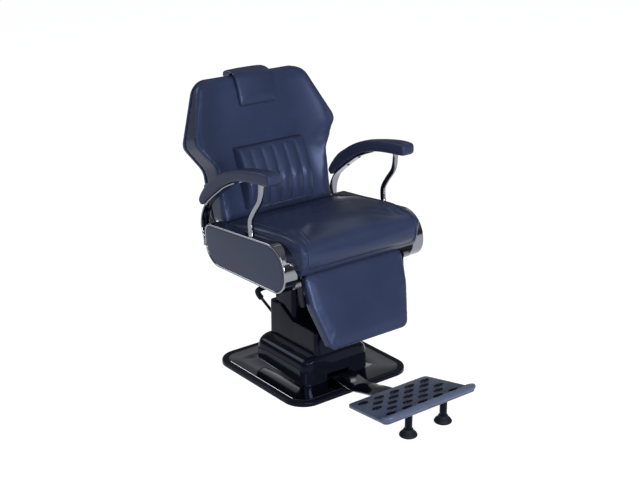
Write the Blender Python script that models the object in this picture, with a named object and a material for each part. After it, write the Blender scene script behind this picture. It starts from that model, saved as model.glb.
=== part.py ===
# A hydraulic barber chair: base with a fixed footrest, pump with lever, lifting and
# swivelling seat, reclining back linked to a leg rest, and a headrest that slides up.
# Metres, +Z up, the front of the chair faces -Y, the sitter's left is +X.

import math

import bmesh
import bpy
import numpy as np
from mathutils import Matrix, Vector

for old in list(bpy.data.objects):
    bpy.data.objects.remove(old, do_unlink=True)

GAP = 0.0003            # clearance between pieces that touch
HOLE_GAP = 0.0004       # radial clearance of a pin in its hole
OVERLAP = 0.001         # depth by which joined shapes reach into each other
THROUGH = 0.010         # length by which a cutter runs past what it cuts

# Base
BASE_HALF = 0.265
BASE_CORNER = 0.080
RIM_WIDTH = 0.024
RIM_TOP = 0.016
RIM_ROUND = 0.005
PLATE_T = 0.006
TRAY_T = 0.002
TRAY_SLOPE = 0.026
TRAY_DROP = 0.0012      # tray's edge below the rim's top

# Pump, ram and swivel
RAM_Y = 0.062
RAM_R = 0.030
PEG_R = 0.018
CYL_R = 0.050
CYL_TOP = 0.185
FLANGE_R = 0.070
FLANGE_T = 0.008
RAM_BOTTOM = 0.040
RAM_SHOULDER = 0.392
SWIVEL_FLANGE_R = 0.055
SWIVEL_FLANGE_T = 0.008
HUB_R = 0.065
HUB_H = 0.0284

# Covers
COVER_T = 0.003
COVER_GAP = 0.0015      # running clearance of the rising cover
LOWER_HX = 0.150
LOWER_HY = 0.157
LOWER_Y = 0.005
LOWER_TOP = 0.114
MIDDLE_HX = 0.095
MIDDLE_HY = 0.142
MIDDLE_Y = -0.002
MIDDLE_CORNER = 0.016
MIDDLE_LAP = 0.024      # depth of the middle cover inside the lower one
DECK_Z = 0.203
REAR_Z = 0.246
STEP_FRONT, STEP_REAR = -0.010, 0.070
UPPER_HX = 0.085
UPPER_HY = 0.062
UPPER_CORNER = 0.019
UPPER_BOTTOM = 0.076
UPPER_BELOW = 0.032     # top of the upper cover below the ram's shoulder

# Pump lever
LEVER_X = -0.044
LEVER_Z = 0.147
LEVER_PIN_R = 0.006
LEVER_HUB_R = 0.014
LEVER_HUB_L = 0.012
LEVER_ROD_R = 0.006
GRIP_R = 0.0105
BRACKET_T = 0.008
BRACKET_HX = 0.022
BRACKET_BEHIND = 0.0035  # bracket behind the middle cover
LEVER_SIDE, LEVER_RISE = -0.073, 0.102   # from the pin to the start of the grip

# Footrest
STRAP_W = 0.096
STRAP_T = 0.006
STRAP_CLEAR = 0.0015    # strap above the base's rim
FOOTREST_AHEAD = 0.158  # tread's rear edge ahead of the base
TREAD_L = 0.232
TREAD_REAR_HX = 0.178
TREAD_FRONT_HX = 0.205
TREAD_REAR_Z = 0.066
TREAD_FRONT_Z = 0.102
TREAD_T = 0.012
LOZENGE_HX, LOZENGE_HY, LOZENGE_H = 0.027, 0.0095, 0.0030
LOZENGE_STEP_X, LOZENGE_STEP_Y = 0.084, 0.036
LEG_X = 0.079
LEG_BACK = 0.031        # leg behind the tread's front edge
LEG_R = 0.013
FOOT_R = 0.031
FOOT_H = 0.0262

# Seat and everything on it: heights from the top of the swivel hub, Y from the ram's axis
POD_IN = 0.2588
POD_OUT = 0.311
POD_FRONT, POD_REAR = -0.315, 0.169
POD_FRONT_LOW, POD_FRONT_TOP = 0.0022, 0.1783
POD_REAR_LOW, POD_REAR_TOP = -0.0112, 0.1389
POD_RADII = (0.070, 0.100, 0.038, 0.085)
BAND_T = 0.003
BEAD = 0.008
PANEL_T = 0.012
FRAME_PLATE_T = 0.006
FRAME_PLATE_HALF = 0.102
RAIL_IN, RAIL_OUT = 0.110, 0.140
RAIL_FRONT, RAIL_REAR = -0.227, 0.143
RAIL_H = 0.035
CROSS_H = 0.025
CROSS_HALF = 0.015
CROSS_INSET = 0.017     # cross tubes from the rails' front ends
BOARD_T = 0.012
BOARD_HX, BOARD_HY, BOARD_Y = 0.250, 0.2125, -0.0965
CUSHION_CLEAR = 0.0033  # seat cushion from the pods
SEAT_CROWN = 0.013

# Armrests
ARM_X = 0.294
ARM_W = 0.056
BAR_W = 0.036
BAR_T = 0.006
BAR_GAP = 0.0006
POST_X = 0.297
POST_R = 0.010
POST_GAP = 0.0005
POST_FOOT_Y = -0.1067

# Joints
PIVOT_BEHIND = 0.004    # recline axis behind the pods
PIVOT_Z = 0.076
KNEE_BEHIND = 0.028     # leg rest axis behind the pods' front
KNEE_Z = 0.026
CRANK_Y, CRANK_Z = 0.030, -0.055        # crank to the link, same at both ends
PIVOT_R = 0.008
COLLAR_R = 0.013
LINK_PIN_R = 0.006
LINK_HALF = 0.011
LINK_T = 0.008
LINK_OPEN = 0.0012      # clearance at the pin where the linkage is opened
PLATE_FROM_POD = 0.0303
ARM_PLATE_T = 0.006
ARM_RISE, ARM_DEPTH = 0.124, 0.0503     # back arm above the back's lower edge and behind its shell
WASHER = 0.0005         # side play between plates

# Backrest: planes through its front and rear
BACK_Y, BACK_Z = 0.2196, 0.371
BACK_SLOPE = 0.36
REAR_Y, REAR_REF = 0.302, 0.416
TOP_T = 0.04409         # thickness at the back's top edge
SHELL_T = 0.016
BACK_LOW, BACK_TOP = 0.118, 0.617
WAIST_Z, WING_Z = 0.316, 0.408
LOW_HX, WAIST_HX, WING_HX, TOP_HX = 0.246, 0.247, 0.317, 0.231
WING_START = 0.145
WING_DEPTH = 0.044
LUMBAR_HX = 0.149
LUMBAR_EDGE = 0.0025    # extra room behind the lumbar cushion's sides
LUMBAR_UP = 0.041       # lumbar cushion's foot above the back's lower edge
LUMBAR_H, LUMBAR_SWELL = 0.2195, 0.0623  # above its foot, ahead of the back's front plane
LUMBAR_CHANNELS = 6
CHANNEL_DEPTH = 0.010

# Headrest
HEAD_HX = 0.080
HEAD_GAP = 0.0015
HEAD_BULGE, HEAD_RISE = 0.008, 0.002     # swell of the pad's middle, forward and up
HEAD_LIFT = 0.0025      # pad above the back's top
HEAD_BAR_IN = 0.0198    # bar behind the front plane
HEAD_BAR_HX, HEAD_BAR_HT = 0.020, 0.0025
HEAD_BAR_L = 0.160
GUIDE_WALL = 0.002
GUIDE_DOWN = 0.012      # sleeve's mouth below the bar's top

# Leg rest
PAD_L = 0.278
PAD_TILT = math.radians(21.5)
PAD_AHEAD, PAD_ABOVE = 0.013, 0.035     # pad's top edge from the leg rest axis
PAD_T = 0.044
PAD_TOP_HX, PAD_MID_HX, PAD_LOW_HX = 0.218, 0.211, 0.172
FRAME_T = 0.005
FRAME_HX = 0.110
FRAME_FROM, FRAME_TO = 0.050, 0.215     # frame's plate, down the pad from its top edge
STRIP_TOP, STRIP_LOW = 0.070, 0.104     # strip across to the lugs

# Recline lever
RELEASE_Y, RELEASE_Z = -0.092, 0.023
RELEASE_DROP = 0.074
RELEASE_END = 0.255
RELEASE_BEND = 0.024    # run of the bend below the hub
RELEASE_STRAIGHT = 0.055    # straight end under the knob
RELEASE_R = 0.0045
RELEASE_PIN_R = 0.005
RELEASE_HUB_R = 0.012
RELEASE_HUB_L = 0.011
KNOB_GAP = 0.0008       # knob from the rod's slanted end

# Worked out from the sizes above
TRAY_TOP = PLATE_T + GAP + TRAY_T
TRAY_EDGE_Z = RIM_TOP - TRAY_DROP
FLOOR_Z = TRAY_TOP + GAP
FLANGE_Z = RAM_SHOULDER + GAP
HUB_Z = FLANGE_Z + SWIVEL_FLANGE_T + GAP
HUB_TOP = HUB_Z + HUB_H
UPPER_TOP = RAM_SHOULDER - UPPER_BELOW
BRACKET_Y = MIDDLE_Y + MIDDLE_HY + BRACKET_BEHIND
LEVER_HUB_Y = BRACKET_Y + BRACKET_T + OVERLAP
LEVER_Y = LEVER_HUB_Y + LEVER_HUB_L / 2
TREAD_REAR_Y = -BASE_HALF - FOOTREST_AHEAD
TREAD_FRONT_Y = TREAD_REAR_Y - TREAD_L
LEG_Y = TREAD_FRONT_Y + LEG_BACK
RAIL_Z = FRAME_PLATE_T
CROSS_Z = RAIL_Z + RAIL_H
BOARD_Z = CROSS_Z + CROSS_H + GAP
CUSHION_Z = BOARD_Z + BOARD_T + GAP
CUSHION_HX = POD_IN - CUSHION_CLEAR
PIVOT_Y = POD_REAR + PIVOT_BEHIND
KNEE_Y = POD_FRONT + KNEE_BEHIND
ARM_PLATE_OUT = POD_IN - PLATE_FROM_POD
ARM_PLATE_IN = ARM_PLATE_OUT - ARM_PLATE_T
LINK_OUT = ARM_PLATE_IN - WASHER
LINK_IN = LINK_OUT - LINK_T
CRANK_BACK = (PIVOT_Y + CRANK_Y, PIVOT_Z + CRANK_Z)
CRANK_LEG = (KNEE_Y + CRANK_Y, KNEE_Z + CRANK_Z)
RELEASE_X = RAIL_OUT + GAP
TOP_FRONT_Y = BACK_Y + BACK_SLOPE * (BACK_TOP - BACK_Z)
REAR_SLOPE = (TOP_FRONT_Y + TOP_T - REAR_Y) / (BACK_TOP - REAR_REF)
SEAT_DATUM = Vector((0.0, RAM_Y, HUB_TOP))
SIDES = (("left", 1), ("right", -1))

materials = {}
built = []              # objects made since the last call of settle


def material(name, colour, roughness, metallic):
    m = bpy.data.materials.new(name)
    m.use_nodes = True
    shader = m.node_tree.nodes["Principled BSDF"]
    shader.inputs["Base Color"].default_value = (*colour, 1.0)
    shader.inputs["Roughness"].default_value = roughness
    shader.inputs["Metallic"].default_value = metallic
    m.diffuse_color = (*colour, 1.0)
    materials[name] = m


material("chrome", (0.80, 0.81, 0.83), 0.08, 1.0)
material("steel", (0.42, 0.43, 0.45), 0.35, 1.0)
material("black_paint", (0.015, 0.016, 0.018), 0.40, 0.0)
material("gloss_plastic", (0.012, 0.013, 0.018), 0.15, 0.0)
material("soft_plastic", (0.020, 0.021, 0.025), 0.45, 0.0)
material("leather", (0.020, 0.024, 0.045), 0.38, 0.0)
material("cast", (0.018, 0.019, 0.022), 0.42, 0.0)
material("rubber", (0.012, 0.012, 0.013), 0.70, 0.0)
material("wood", (0.36, 0.24, 0.13), 0.65, 0.0)


def add(name, verts, faces, mat, cutter=False):
    """One closed mesh object, faces turned outwards."""
    mesh = bpy.data.meshes.new(name)
    mesh.from_pydata([tuple(float(c) for c in v) for v in verts], [], faces)
    bm = bmesh.new()
    bm.from_mesh(mesh)
    bmesh.ops.remove_doubles(bm, verts=bm.verts, dist=1e-7)
    bmesh.ops.recalc_face_normals(bm, faces=bm.faces)
    bm.to_mesh(mesh)
    bm.free()
    obj = bpy.data.objects.new(name, mesh)
    bpy.context.scene.collection.objects.link(obj)
    built.append(obj)
    if cutter:
        obj.hide_render = True
        obj.display_type = 'WIRE'
    else:
        mesh.materials.append(materials[mat])
        mesh.shade_smooth()
        mesh.set_sharp_from_angle(angle=math.radians(35))
    return obj


def settle(axis=(0.0, 0.0, 0.0), datum=(0.0, 0.0, 0.0)):
    """Puts the origins of a body's objects on its joint axis, counted from a datum."""
    for obj in built:
        obj.data.transform(Matrix.Translation(-Vector(axis)))
        obj.location = Vector(datum) + Vector(axis)
    built.clear()


def combine(obj, other, operation):
    """Adds an exact Boolean with a hidden helper object."""
    mod = obj.modifiers.new(operation.lower(), 'BOOLEAN')
    mod.operation = operation
    mod.solver = 'EXACT'
    mod.object = other


def loft(rings, closed_path=False, cap_last=True):
    """Skin of rings with the same point count; each end is closed by one face."""
    verts = [p for ring in rings for p in ring]
    n = len(rings[0])
    count = len(rings)
    faces = []
    for i in range(count if closed_path else count - 1):
        a = i * n
        b = ((i + 1) % count) * n
        for k in range(n):
            k2 = (k + 1) % n
            faces.append((a + k, a + k2, b + k2, b + k))
    if closed_path:
        return verts, faces
    for start in (0, (count - 1) * n) if cap_last else (0,):
        faces.append(tuple(range(start, start + n)))
    return verts, faces


def rounded(points, radii, steps=6):
    """Polygon with rounded corners; a corner's radius is limited by the length of its sides."""
    out = []
    n = len(points)
    corners = []
    for i in range(n):
        p = np.array(points[i], float)
        a = np.array(points[i - 1], float) - p
        b = np.array(points[(i + 1) % n], float) - p
        side = np.linalg.norm(b)
        a /= np.linalg.norm(a)
        b /= side
        r = radii[i] if hasattr(radii, "__len__") else radii
        half = math.acos(max(-1.0, min(1.0, float(a @ b)))) / 2
        corners.append((p, a, b, r, half, side))
    used = [r / math.tan(half) for *_, r, half, _ in corners]
    fit = [min(1.0, 0.98 * corners[i][5] / (used[i] + used[(i + 1) % n])) for i in range(n)]
    for i, (p, a, b, r, half, _) in enumerate(corners):
        r *= min(fit[i], fit[i - 1])
        start = p + a * r / math.tan(half)
        end = p + b * r / math.tan(half)
        mid = (a + b) / np.linalg.norm(a + b)
        centre = p + mid * r / math.sin(half)
        t0 = math.atan2(*(start - centre)[::-1])
        t1 = math.atan2(*(end - centre)[::-1])
        while t1 - t0 > math.pi:
            t1 -= 2 * math.pi
        while t1 - t0 < -math.pi:
            t1 += 2 * math.pi
        for k in range(steps + 1):
            t = t0 + (t1 - t0) * k / steps
            out.append((centre[0] + r * math.cos(t), centre[1] + r * math.sin(t)))
    return out


def divided(poly, longest):
    """Adds evenly spaced points on the sides of a polygon that are longer than longest."""
    out = []
    for p, q in zip(poly, poly[1:] + poly[:1]):
        parts = max(1, math.ceil(math.dist(p, q) / longest))
        for k in range(parts):
            out.append((p[0] + (q[0] - p[0]) * k / parts, p[1] + (q[1] - p[1]) * k / parts))
    return out


def crossing(poly, levels):
    """Adds points where the sides of an outline cross the given Y values."""
    out = []
    for (xa, ya), (xb, yb) in zip(poly, poly[1:] + poly[:1]):
        out.append((xa, ya))
        between = [c for c in levels if min(ya, yb) < c < max(ya, yb)]
        for c in sorted(between, reverse=bool(ya > yb)):
            out.append((xa + (xb - xa) * (c - ya) / (yb - ya), c))
    return out


def round_rect(hx, hy, r, steps=6, cx=0.0, cy=0.0):
    box = [(cx - hx, cy - hy), (cx + hx, cy - hy), (cx + hx, cy + hy), (cx - hx, cy + hy)]
    return rounded(box, r, steps)


def inset(poly, d):
    """Moves every point of a closed polygon inwards by d along its mean normal.

    Where a corner is tighter than d its points would pass each other; they meet at their mean."""
    pts = np.array(poly, float)
    nxt = np.roll(pts, -1, axis=0)
    t = nxt - np.roll(pts, 1, axis=0)
    t /= np.linalg.norm(t, axis=1)[:, None]
    area = np.sum(pts[:, 0] * nxt[:, 1] - nxt[:, 0] * pts[:, 1])
    normal = np.stack([-t[:, 1], t[:, 0]], 1) * (1 if area > 0 else -1)
    moved = pts + normal * d
    joined = np.zeros(len(pts), bool)       # side k has shrunk to a point
    while True:
        turned = np.sum((np.roll(moved, -1, axis=0) - moved) * (nxt - pts), axis=1) < 0.0
        if not np.any(turned & ~joined) or np.all(joined | turned):
            return [tuple(p) for p in moved]
        joined |= turned
        first = int(np.argmin(joined)) + 1
        run = []
        for k in range(first, first + len(pts)):
            run.append(k % len(pts))
            if not joined[run[-1]]:
                moved[run] = moved[run].mean(axis=0)
                run = []


def limit(value):
    return max(0.0, min(1.0, value))


def in_z(poly, z):
    return [(x, y, z) for x, y in poly]


def in_x(poly, x):
    return [(x, y, z) for y, z in poly]


def in_y(poly, y):
    return [(x, y, z) for x, z in poly]


def circle(r, n, cx=0.0, cy=0.0):
    turn = 2 * math.pi / n
    return [(cx + r * math.cos(turn * k), cy + r * math.sin(turn * k)) for k in range(n)]


def turned_z(name, profile, cx, cy, mat, n=32, cutter=False):
    """Solid of revolution about a vertical axis, profile as (radius, z) from end to end."""
    return add(name, *loft([in_z(circle(r, n, cx, cy), z) for r, z in profile]), mat, cutter)


def ring_z(name, r_in, r_out, z0, z1, cx, cy, mat, n=32):
    """Flat ring about a vertical axis."""
    section = [(r_in, z0), (r_in, z1), (r_out, z1), (r_out, z0)]
    rings = [in_z(circle(r, n, cx, cy), z) for r, z in section]
    return add(name, *loft(rings, closed_path=True), mat)


def turned_x(name, profile, cy, cz, mat, n=14, cutter=False):
    """Solid of revolution about an axis along X, profile as (radius, x)."""
    return add(name, *loft([in_x(circle(r, n, cy, cz), x) for r, x in profile]), mat, cutter)


def turned_y(name, profile, cx, cz, mat, n=14, cutter=False):
    """Solid of revolution about an axis along Y, profile as (radius, y)."""
    return add(name, *loft([in_y(circle(r, n, cx, cz), y) for r, y in profile]), mat, cutter)


def prism_x(name, poly, x0, x1, mat, cutter=False):
    """Plate in the YZ plane between two X values."""
    return add(name, *loft([in_x(poly, x0), in_x(poly, x1)]), mat, cutter)


def prism_z(name, poly, z0, z1, mat, cutter=False):
    return add(name, *loft([in_z(poly, z0), in_z(poly, z1)]), mat, cutter)


def block(name, x0, x1, y0, y1, z0, z1, mat, cutter=False):
    return prism_z(name, [(x0, y0), (x1, y0), (x1, y1), (x0, y1)], z0, z1, mat, cutter)


def drill_x(obj, name, radius, sign, y, z):
    """Cuts a round hole along X through the plates on one side."""
    ends = [(radius, sign * (LINK_IN - THROUGH)), (radius, sign * (ARM_PLATE_OUT + THROUGH))]
    combine(obj, turned_x(name, ends, y, z, "", 14, True), 'DIFFERENCE')


def path_frames(path):
    """Points and in-plane normals of a path in the YZ plane."""
    pts = np.array(path, float)
    t = np.gradient(pts, axis=0)
    t /= np.linalg.norm(t, axis=1)[:, None]
    return pts, np.stack([-t[:, 1], t[:, 0]], 1)


def smooth(path, steps=4):
    """Catmull-Rom curve through the points."""
    p = [np.array(q, float) for q in path]
    p = [2 * p[0] - p[1]] + p + [2 * p[-1] - p[-2]]
    out = []
    for i in range(1, len(p) - 2):
        for k in range(steps):
            t = k / steps
            out.append(tuple(0.5 * (2 * p[i] + (p[i + 1] - p[i - 1]) * t
                                    + (2 * p[i - 1] - 5 * p[i] + 4 * p[i + 1] - p[i + 2]) * t ** 2
                                    + (3 * p[i] - p[i - 1] - 3 * p[i + 1] + p[i + 2]) * t ** 3)))
    out.append(tuple(p[-2]))
    return out


def strap(name, path, width, thick, cx, mat, corner=0.001):
    """Flat bar bent in the YZ plane, its width along X."""
    section = round_rect(width / 2, thick / 2, corner, 1)
    rings = []
    for p, n in zip(*path_frames(path)):
        rings.append([(cx + u, p[0] + n[0] * v, p[1] + n[1] * v) for u, v in section])
    return add(name, *loft(rings), mat)


def rod3(path, radii, n=12):
    """Rings of a round rod along a path in space."""
    pts = np.array(path, float)
    t = np.gradient(pts, axis=0)
    t /= np.linalg.norm(t, axis=1)[:, None]
    side = np.cross(t[0], (0.31, 0.52, 0.79))
    rings = []
    for p, d, r in zip(pts, t, radii):
        side = side - d * (side @ d)
        side /= np.linalg.norm(side)
        up = np.cross(d, side)
        rings.append([tuple(p + r * (side * math.cos(a) + up * math.sin(a)))
                      for a in np.linspace(0, 2 * math.pi, n, endpoint=False)])
    return rings


def front_plane(z):
    return BACK_Y + BACK_SLOPE * (z - BACK_Z)


def rear_plane(z):
    return REAR_Y + REAR_SLOPE * (z - REAR_REF)


def tread_z(y):
    """Top of the footrest plate."""
    return TREAD_REAR_Z + (TREAD_FRONT_Z - TREAD_REAR_Z) * (TREAD_REAR_Y - y) / TREAD_L


# Base plate, rim and chrome tray
tray_half = BASE_HALF - RIM_WIDTH - GAP
tray_corner = BASE_CORNER - RIM_WIDTH - GAP
prism_z("base_plate", round_rect(tray_half, tray_half, tray_corner, 8), 0.0, PLATE_T, "black_paint")

rim_section = [(0.0, 0.0), (0.0, RIM_TOP - RIM_ROUND), (RIM_ROUND * 0.3, RIM_TOP - RIM_ROUND * 0.3),
               (RIM_ROUND, RIM_TOP), (RIM_WIDTH - 0.003, RIM_TOP), (RIM_WIDTH, RIM_TOP - 0.003),
               (RIM_WIDTH, 0.0)]
rim_rings = []
for depth, z in rim_section:
    half = BASE_HALF - depth
    rim_rings.append(in_z(round_rect(half, half, BASE_CORNER - depth, 8), z))
add("base_rim", *loft(rim_rings, closed_path=True), "black_paint")

tray_section = [(TRAY_SLOPE, TRAY_TOP - TRAY_T), (TRAY_T, TRAY_EDGE_Z - TRAY_T),
                (0.0, TRAY_EDGE_Z - TRAY_T / 2), (TRAY_T / 2, TRAY_EDGE_Z),
                (TRAY_SLOPE + TRAY_T / 2, TRAY_TOP)]
tray_rings = []
for depth, z in tray_section:
    half = tray_half - depth
    tray_rings.append(in_z(round_rect(half, half, tray_corner - depth, 8), z))
add("base_tray", *loft(tray_rings), "chrome")

# Pump: flanged cylinder with a blind bore
bore_r = RAM_R + HOLE_GAP
turned_z("pump_cylinder",
         [(FLANGE_R, FLOOR_Z), (FLANGE_R, FLOOR_Z + FLANGE_T), (CYL_R, FLOOR_Z + FLANGE_T), (CYL_R, CYL_TOP),
          (bore_r, CYL_TOP), (bore_r, RAM_BOTTOM - GAP)], 0.0, RAM_Y, "steel")

# Lower cover: a rounded box with a soft shoulder, open below and at the top
shoulder = [(FLOOR_Z, 0.0, 0.034), (LOWER_TOP - 0.036, 0.06, 0.034), (LOWER_TOP - 0.018, 0.20, 0.032),
            (LOWER_TOP - 0.007, 0.48, 0.028), (LOWER_TOP - 0.002, 0.80, 0.022), (LOWER_TOP, 1.0, 0.014)]


def lower_ring(z, share, corner, wall):
    """Section of the lower cover; it draws in from its own width to the middle cover's."""
    hx = LOWER_HX + (MIDDLE_HX + GAP - LOWER_HX) * share
    hy = LOWER_HY + (MIDDLE_HY + GAP - LOWER_HY) * share
    cy = LOWER_Y + (MIDDLE_Y - LOWER_Y) * share
    thin = wall * (1.0 - share)
    return in_z(round_rect(hx - thin, hy - thin, corner - thin * 0.7, 6, 0.0, cy), z - wall * share)


cover_rings = [lower_ring(*level, 0.0) for level in shoulder]
cover_rings += [lower_ring(*level, COVER_T) for level in reversed(shoulder)]
lower_cover = add("lower_cover", *loft(cover_rings, closed_path=True), "gloss_plastic")
cover_front = LOWER_Y - LOWER_HY
strap_room = STRAP_W / 2 + 0.002
combine(lower_cover, block("cut_strap", -strap_room, strap_room, cover_front - 0.023, cover_front + 0.027,
                           0.0, FLOOR_Z + STRAP_T + 0.020, "", True), 'DIFFERENCE')
bracket_room = BRACKET_HX + 0.003
combine(lower_cover, block("cut_bracket", LEVER_X - bracket_room, LEVER_X + bracket_room, BRACKET_Y - 0.0135,
                           BRACKET_Y + BRACKET_T + 0.002, LOWER_TOP - 0.024, LOWER_TOP + THROUGH, "", True),
        'DIFFERENCE')


# Middle cover: low front deck, sloping step, higher back; hollow, with a well for the upper cover
def stepped_box(name, wall, cutter):
    """Rounded box whose top follows the deck, the step and the rear."""
    corner = MIDDLE_CORNER - wall * 0.6
    outline = round_rect(MIDDLE_HX - wall, MIDDLE_HY - wall, corner, 5, 0.0, MIDDLE_Y)
    outline = crossing(outline, (STEP_FRONT, STEP_REAR))
    heights = ([STEP_FRONT, STEP_REAR], [DECK_Z - wall, REAR_Z - wall])
    edge = 0.004
    bottom = LOWER_TOP - MIDDLE_LAP - (THROUGH if cutter else 0.0)
    rings = [in_z(outline, bottom)]
    for depth, drop in ((0.0, edge), (edge * 0.3, edge * 0.3), (edge, 0.0)):
        rings.append([(x, y, float(np.interp(y, *heights)) - drop) for x, y in inset(outline, depth)])
    verts, faces = loft(rings, cap_last=False)
    n = len(outline)
    top = range(3 * n, 4 * n)
    right = sorted([i for i in top if verts[i][0] < 0], key=lambda i: verts[i][1])
    left = sorted([i for i in top if verts[i][0] > 0], key=lambda i: verts[i][1])
    for k in range(len(left) - 1):
        faces.append((right[k], right[k + 1], left[k + 1], left[k]))
    return add(name, verts, faces, "gloss_plastic", cutter)


middle_cover = stepped_box("middle_cover", 0.0, False)
combine(middle_cover, stepped_box("cut_middle_inside", COVER_T, True), 'DIFFERENCE')
well = round_rect(UPPER_HX + COVER_GAP, UPPER_HY + COVER_GAP, UPPER_CORNER + COVER_GAP, 5, 0.0, RAM_Y)
combine(middle_cover, prism_z("cut_well", well, DECK_Z - 0.050, REAR_Z + 0.050, "", True), 'DIFFERENCE')

# Lever bracket behind the covers, with its pin
bracket = rounded([(LEVER_X - BRACKET_HX, FLOOR_Z), (LEVER_X + BRACKET_HX, FLOOR_Z),
                   (LEVER_X + BRACKET_HX, LEVER_Z + 0.017), (LEVER_X - BRACKET_HX, LEVER_Z + 0.017)],
                  [0.001, 0.001, 0.016, 0.016], 5)
lever_bracket = add("lever_bracket", *loft([in_y(bracket, BRACKET_Y), in_y(bracket, BRACKET_Y + BRACKET_T)]),
                    "steel")
hole_ends = [(LEVER_PIN_R + GAP, BRACKET_Y - THROUGH), (LEVER_PIN_R + GAP, BRACKET_Y + BRACKET_T + THROUGH)]
combine(lever_bracket, turned_y("cut_bracket_hole", hole_ends, LEVER_X, LEVER_Z, "", 14, True), 'DIFFERENCE')
lever_hub_end = LEVER_HUB_Y + LEVER_HUB_L
pin_head = lever_hub_end + 2 * HOLE_GAP
turned_y("lever_pin", [(LEVER_PIN_R, BRACKET_Y), (LEVER_PIN_R, pin_head), (LEVER_PIN_R + 0.004, pin_head),
                       (LEVER_PIN_R + 0.003, pin_head + 0.0032)], LEVER_X, LEVER_Z, "steel")

# Footrest: strap from the base over its rim, tread plate with raised lozenges and a lip, legs and feet
strap_under = TREAD_T + GAP + STRAP_T / 2
on_tray = FLOOR_Z + STRAP_T / 2
on_rim = RIM_TOP + STRAP_CLEAR + STRAP_T / 2
under_tread = TREAD_REAR_Z - strap_under
strap_path = [(cover_front + 0.067, on_tray), (cover_front + 0.030, on_tray),
              (cover_front + 0.002, on_tray + 0.0094), (cover_front - 0.018, on_rim + 0.007),
              (cover_front - 0.043, on_rim + 0.007), (-BASE_HALF + 0.040, on_rim + 0.003),
              (-BASE_HALF + 0.015, on_rim), (-BASE_HALF - 0.013, on_rim),
              (TREAD_REAR_Y + 0.108, under_tread - 0.0227), (TREAD_REAR_Y + 0.063, under_tread - 0.0122)]
for along, lower in ((0.023, 0.0005), (-0.017, 0.0), (-0.117, 0.0)):
    y = TREAD_REAR_Y + along
    strap_path.append((y, tread_z(y) - strap_under - lower))
strap("footrest_bar", strap_path, STRAP_W, STRAP_T, 0.0, "chrome")

tread_outline = rounded([(-TREAD_REAR_HX, TREAD_REAR_Y), (TREAD_REAR_HX, TREAD_REAR_Y),
                         (TREAD_FRONT_HX, TREAD_FRONT_Y), (-TREAD_FRONT_HX, TREAD_FRONT_Y)],
                        [0.030, 0.030, 0.034, 0.034], 6)
tread_rings = []
for depth, drop in ((0.004, TREAD_T), (0.0, TREAD_T - 0.004), (0.0, 0.003), (0.003, 0.0)):
    tread_rings.append([(x, y, tread_z(y) - drop) for x, y in inset(tread_outline, depth)])
footrest_plate = add("footrest_plate", *loft(tread_rings), "cast")

lip_half = [(0.006, 0.045, -0.004, 0.006), (0.003, 0.022, 0.002, 0.009), (0.012, 0.008, 0.006, 0.010),
            (0.034, 0.002, 0.008, 0.011)]       # in from the side, back from the front, rise, radius
lip = [(-TREAD_FRONT_HX + side_in, back, rise, r) for side_in, back, rise, r in lip_half]
lip += [(0.0, 0.001, 0.009, 0.011)] + [(-x, back, rise, r) for x, back, rise, r in reversed(lip)]
lip_path = [(x, TREAD_FRONT_Y + back, tread_z(TREAD_FRONT_Y + back) + rise) for x, back, rise, _ in lip]
lip_rings = rod3(lip_path, [r for *_, r in lip], 12)
combine(footrest_plate, add("join_lip", *loft(lip_rings), "", True), 'UNION')

hexagon = ((-1, 0), (-0.45, -1), (0.45, -1), (1, 0), (0.45, 1), (-0.45, 1))
loz_verts = []
loz_faces = []
for row in range(5):
    y = TREAD_REAR_Y - 0.038 - LOZENGE_STEP_Y * row
    count = 4 if row % 2 else 3
    for column in range(count):
        x = LOZENGE_STEP_X * (column - (count - 1) / 2)
        start = len(loz_verts)
        for scale, rise in ((1.0, -TREAD_T / 3), (1.0, 0.0004), (0.62, LOZENGE_H)):
            for dx, dy in hexagon:
                py = y + dy * LOZENGE_HY * scale
                loz_verts.append((x + dx * LOZENGE_HX * scale, py, tread_z(py) + rise))
        for level in (start, start + 6):
            for k in range(6):
                k2 = (k + 1) % 6
                loz_faces.append((level + k, level + k2, level + 6 + k2, level + 6 + k))
        loz_faces.append(tuple(start + k for k in range(6)))
        loz_faces.append(tuple(start + 12 + k for k in range(6)))
combine(footrest_plate, add("join_lozenges", loz_verts, loz_faces, "", True), 'UNION')

for side, sign in SIDES:
    leg = circle(LEG_R, 20, sign * LEG_X, LEG_Y)
    top = [(x, y, tread_z(y) - TREAD_T - GAP) for x, y in leg]
    add("footrest_leg_" + side, *loft([in_z(leg, FOOT_H + GAP), top]), "black_paint")
    turned_z("footrest_foot_" + side,
             [(FOOT_R - 0.002, 0.0), (FOOT_R, 0.002), (FOOT_R, FOOT_H * 0.23),
              (FOOT_R - 0.004, FOOT_H * 0.46), (LEG_R + 0.0065, FOOT_H * 0.73), (LEG_R + 0.0035, FOOT_H)],
             sign * LEG_X, LEG_Y, "rubber", 20)
settle()

# Pump lever: rod with a hub, bent rubber grip
hub_point = np.array([LEVER_X, LEVER_Y, LEVER_Z])
grip_start = hub_point + np.array([LEVER_SIDE, 0.0, LEVER_RISE])
rod_dir = (grip_start - hub_point) / np.linalg.norm(grip_start - hub_point)
rod_start = hub_point + rod_dir * (LEVER_PIN_R + 0.003)
rod_end = grip_start + rod_dir * 0.020
lever_rod = add("lever_rod", *loft(rod3([rod_start, (rod_start + rod_end) / 2, rod_end], [LEVER_ROD_R] * 3)),
                "chrome")
hub_ends = [(LEVER_HUB_R, LEVER_HUB_Y), (LEVER_HUB_R, lever_hub_end)]
combine(lever_rod, turned_y("join_lever_hub", hub_ends, LEVER_X, LEVER_Z, "", 24, True), 'UNION')
hole_r = LEVER_PIN_R + HOLE_GAP
hole_ends = [(hole_r, LEVER_HUB_Y - THROUGH), (hole_r, lever_hub_end + THROUGH)]
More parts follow.
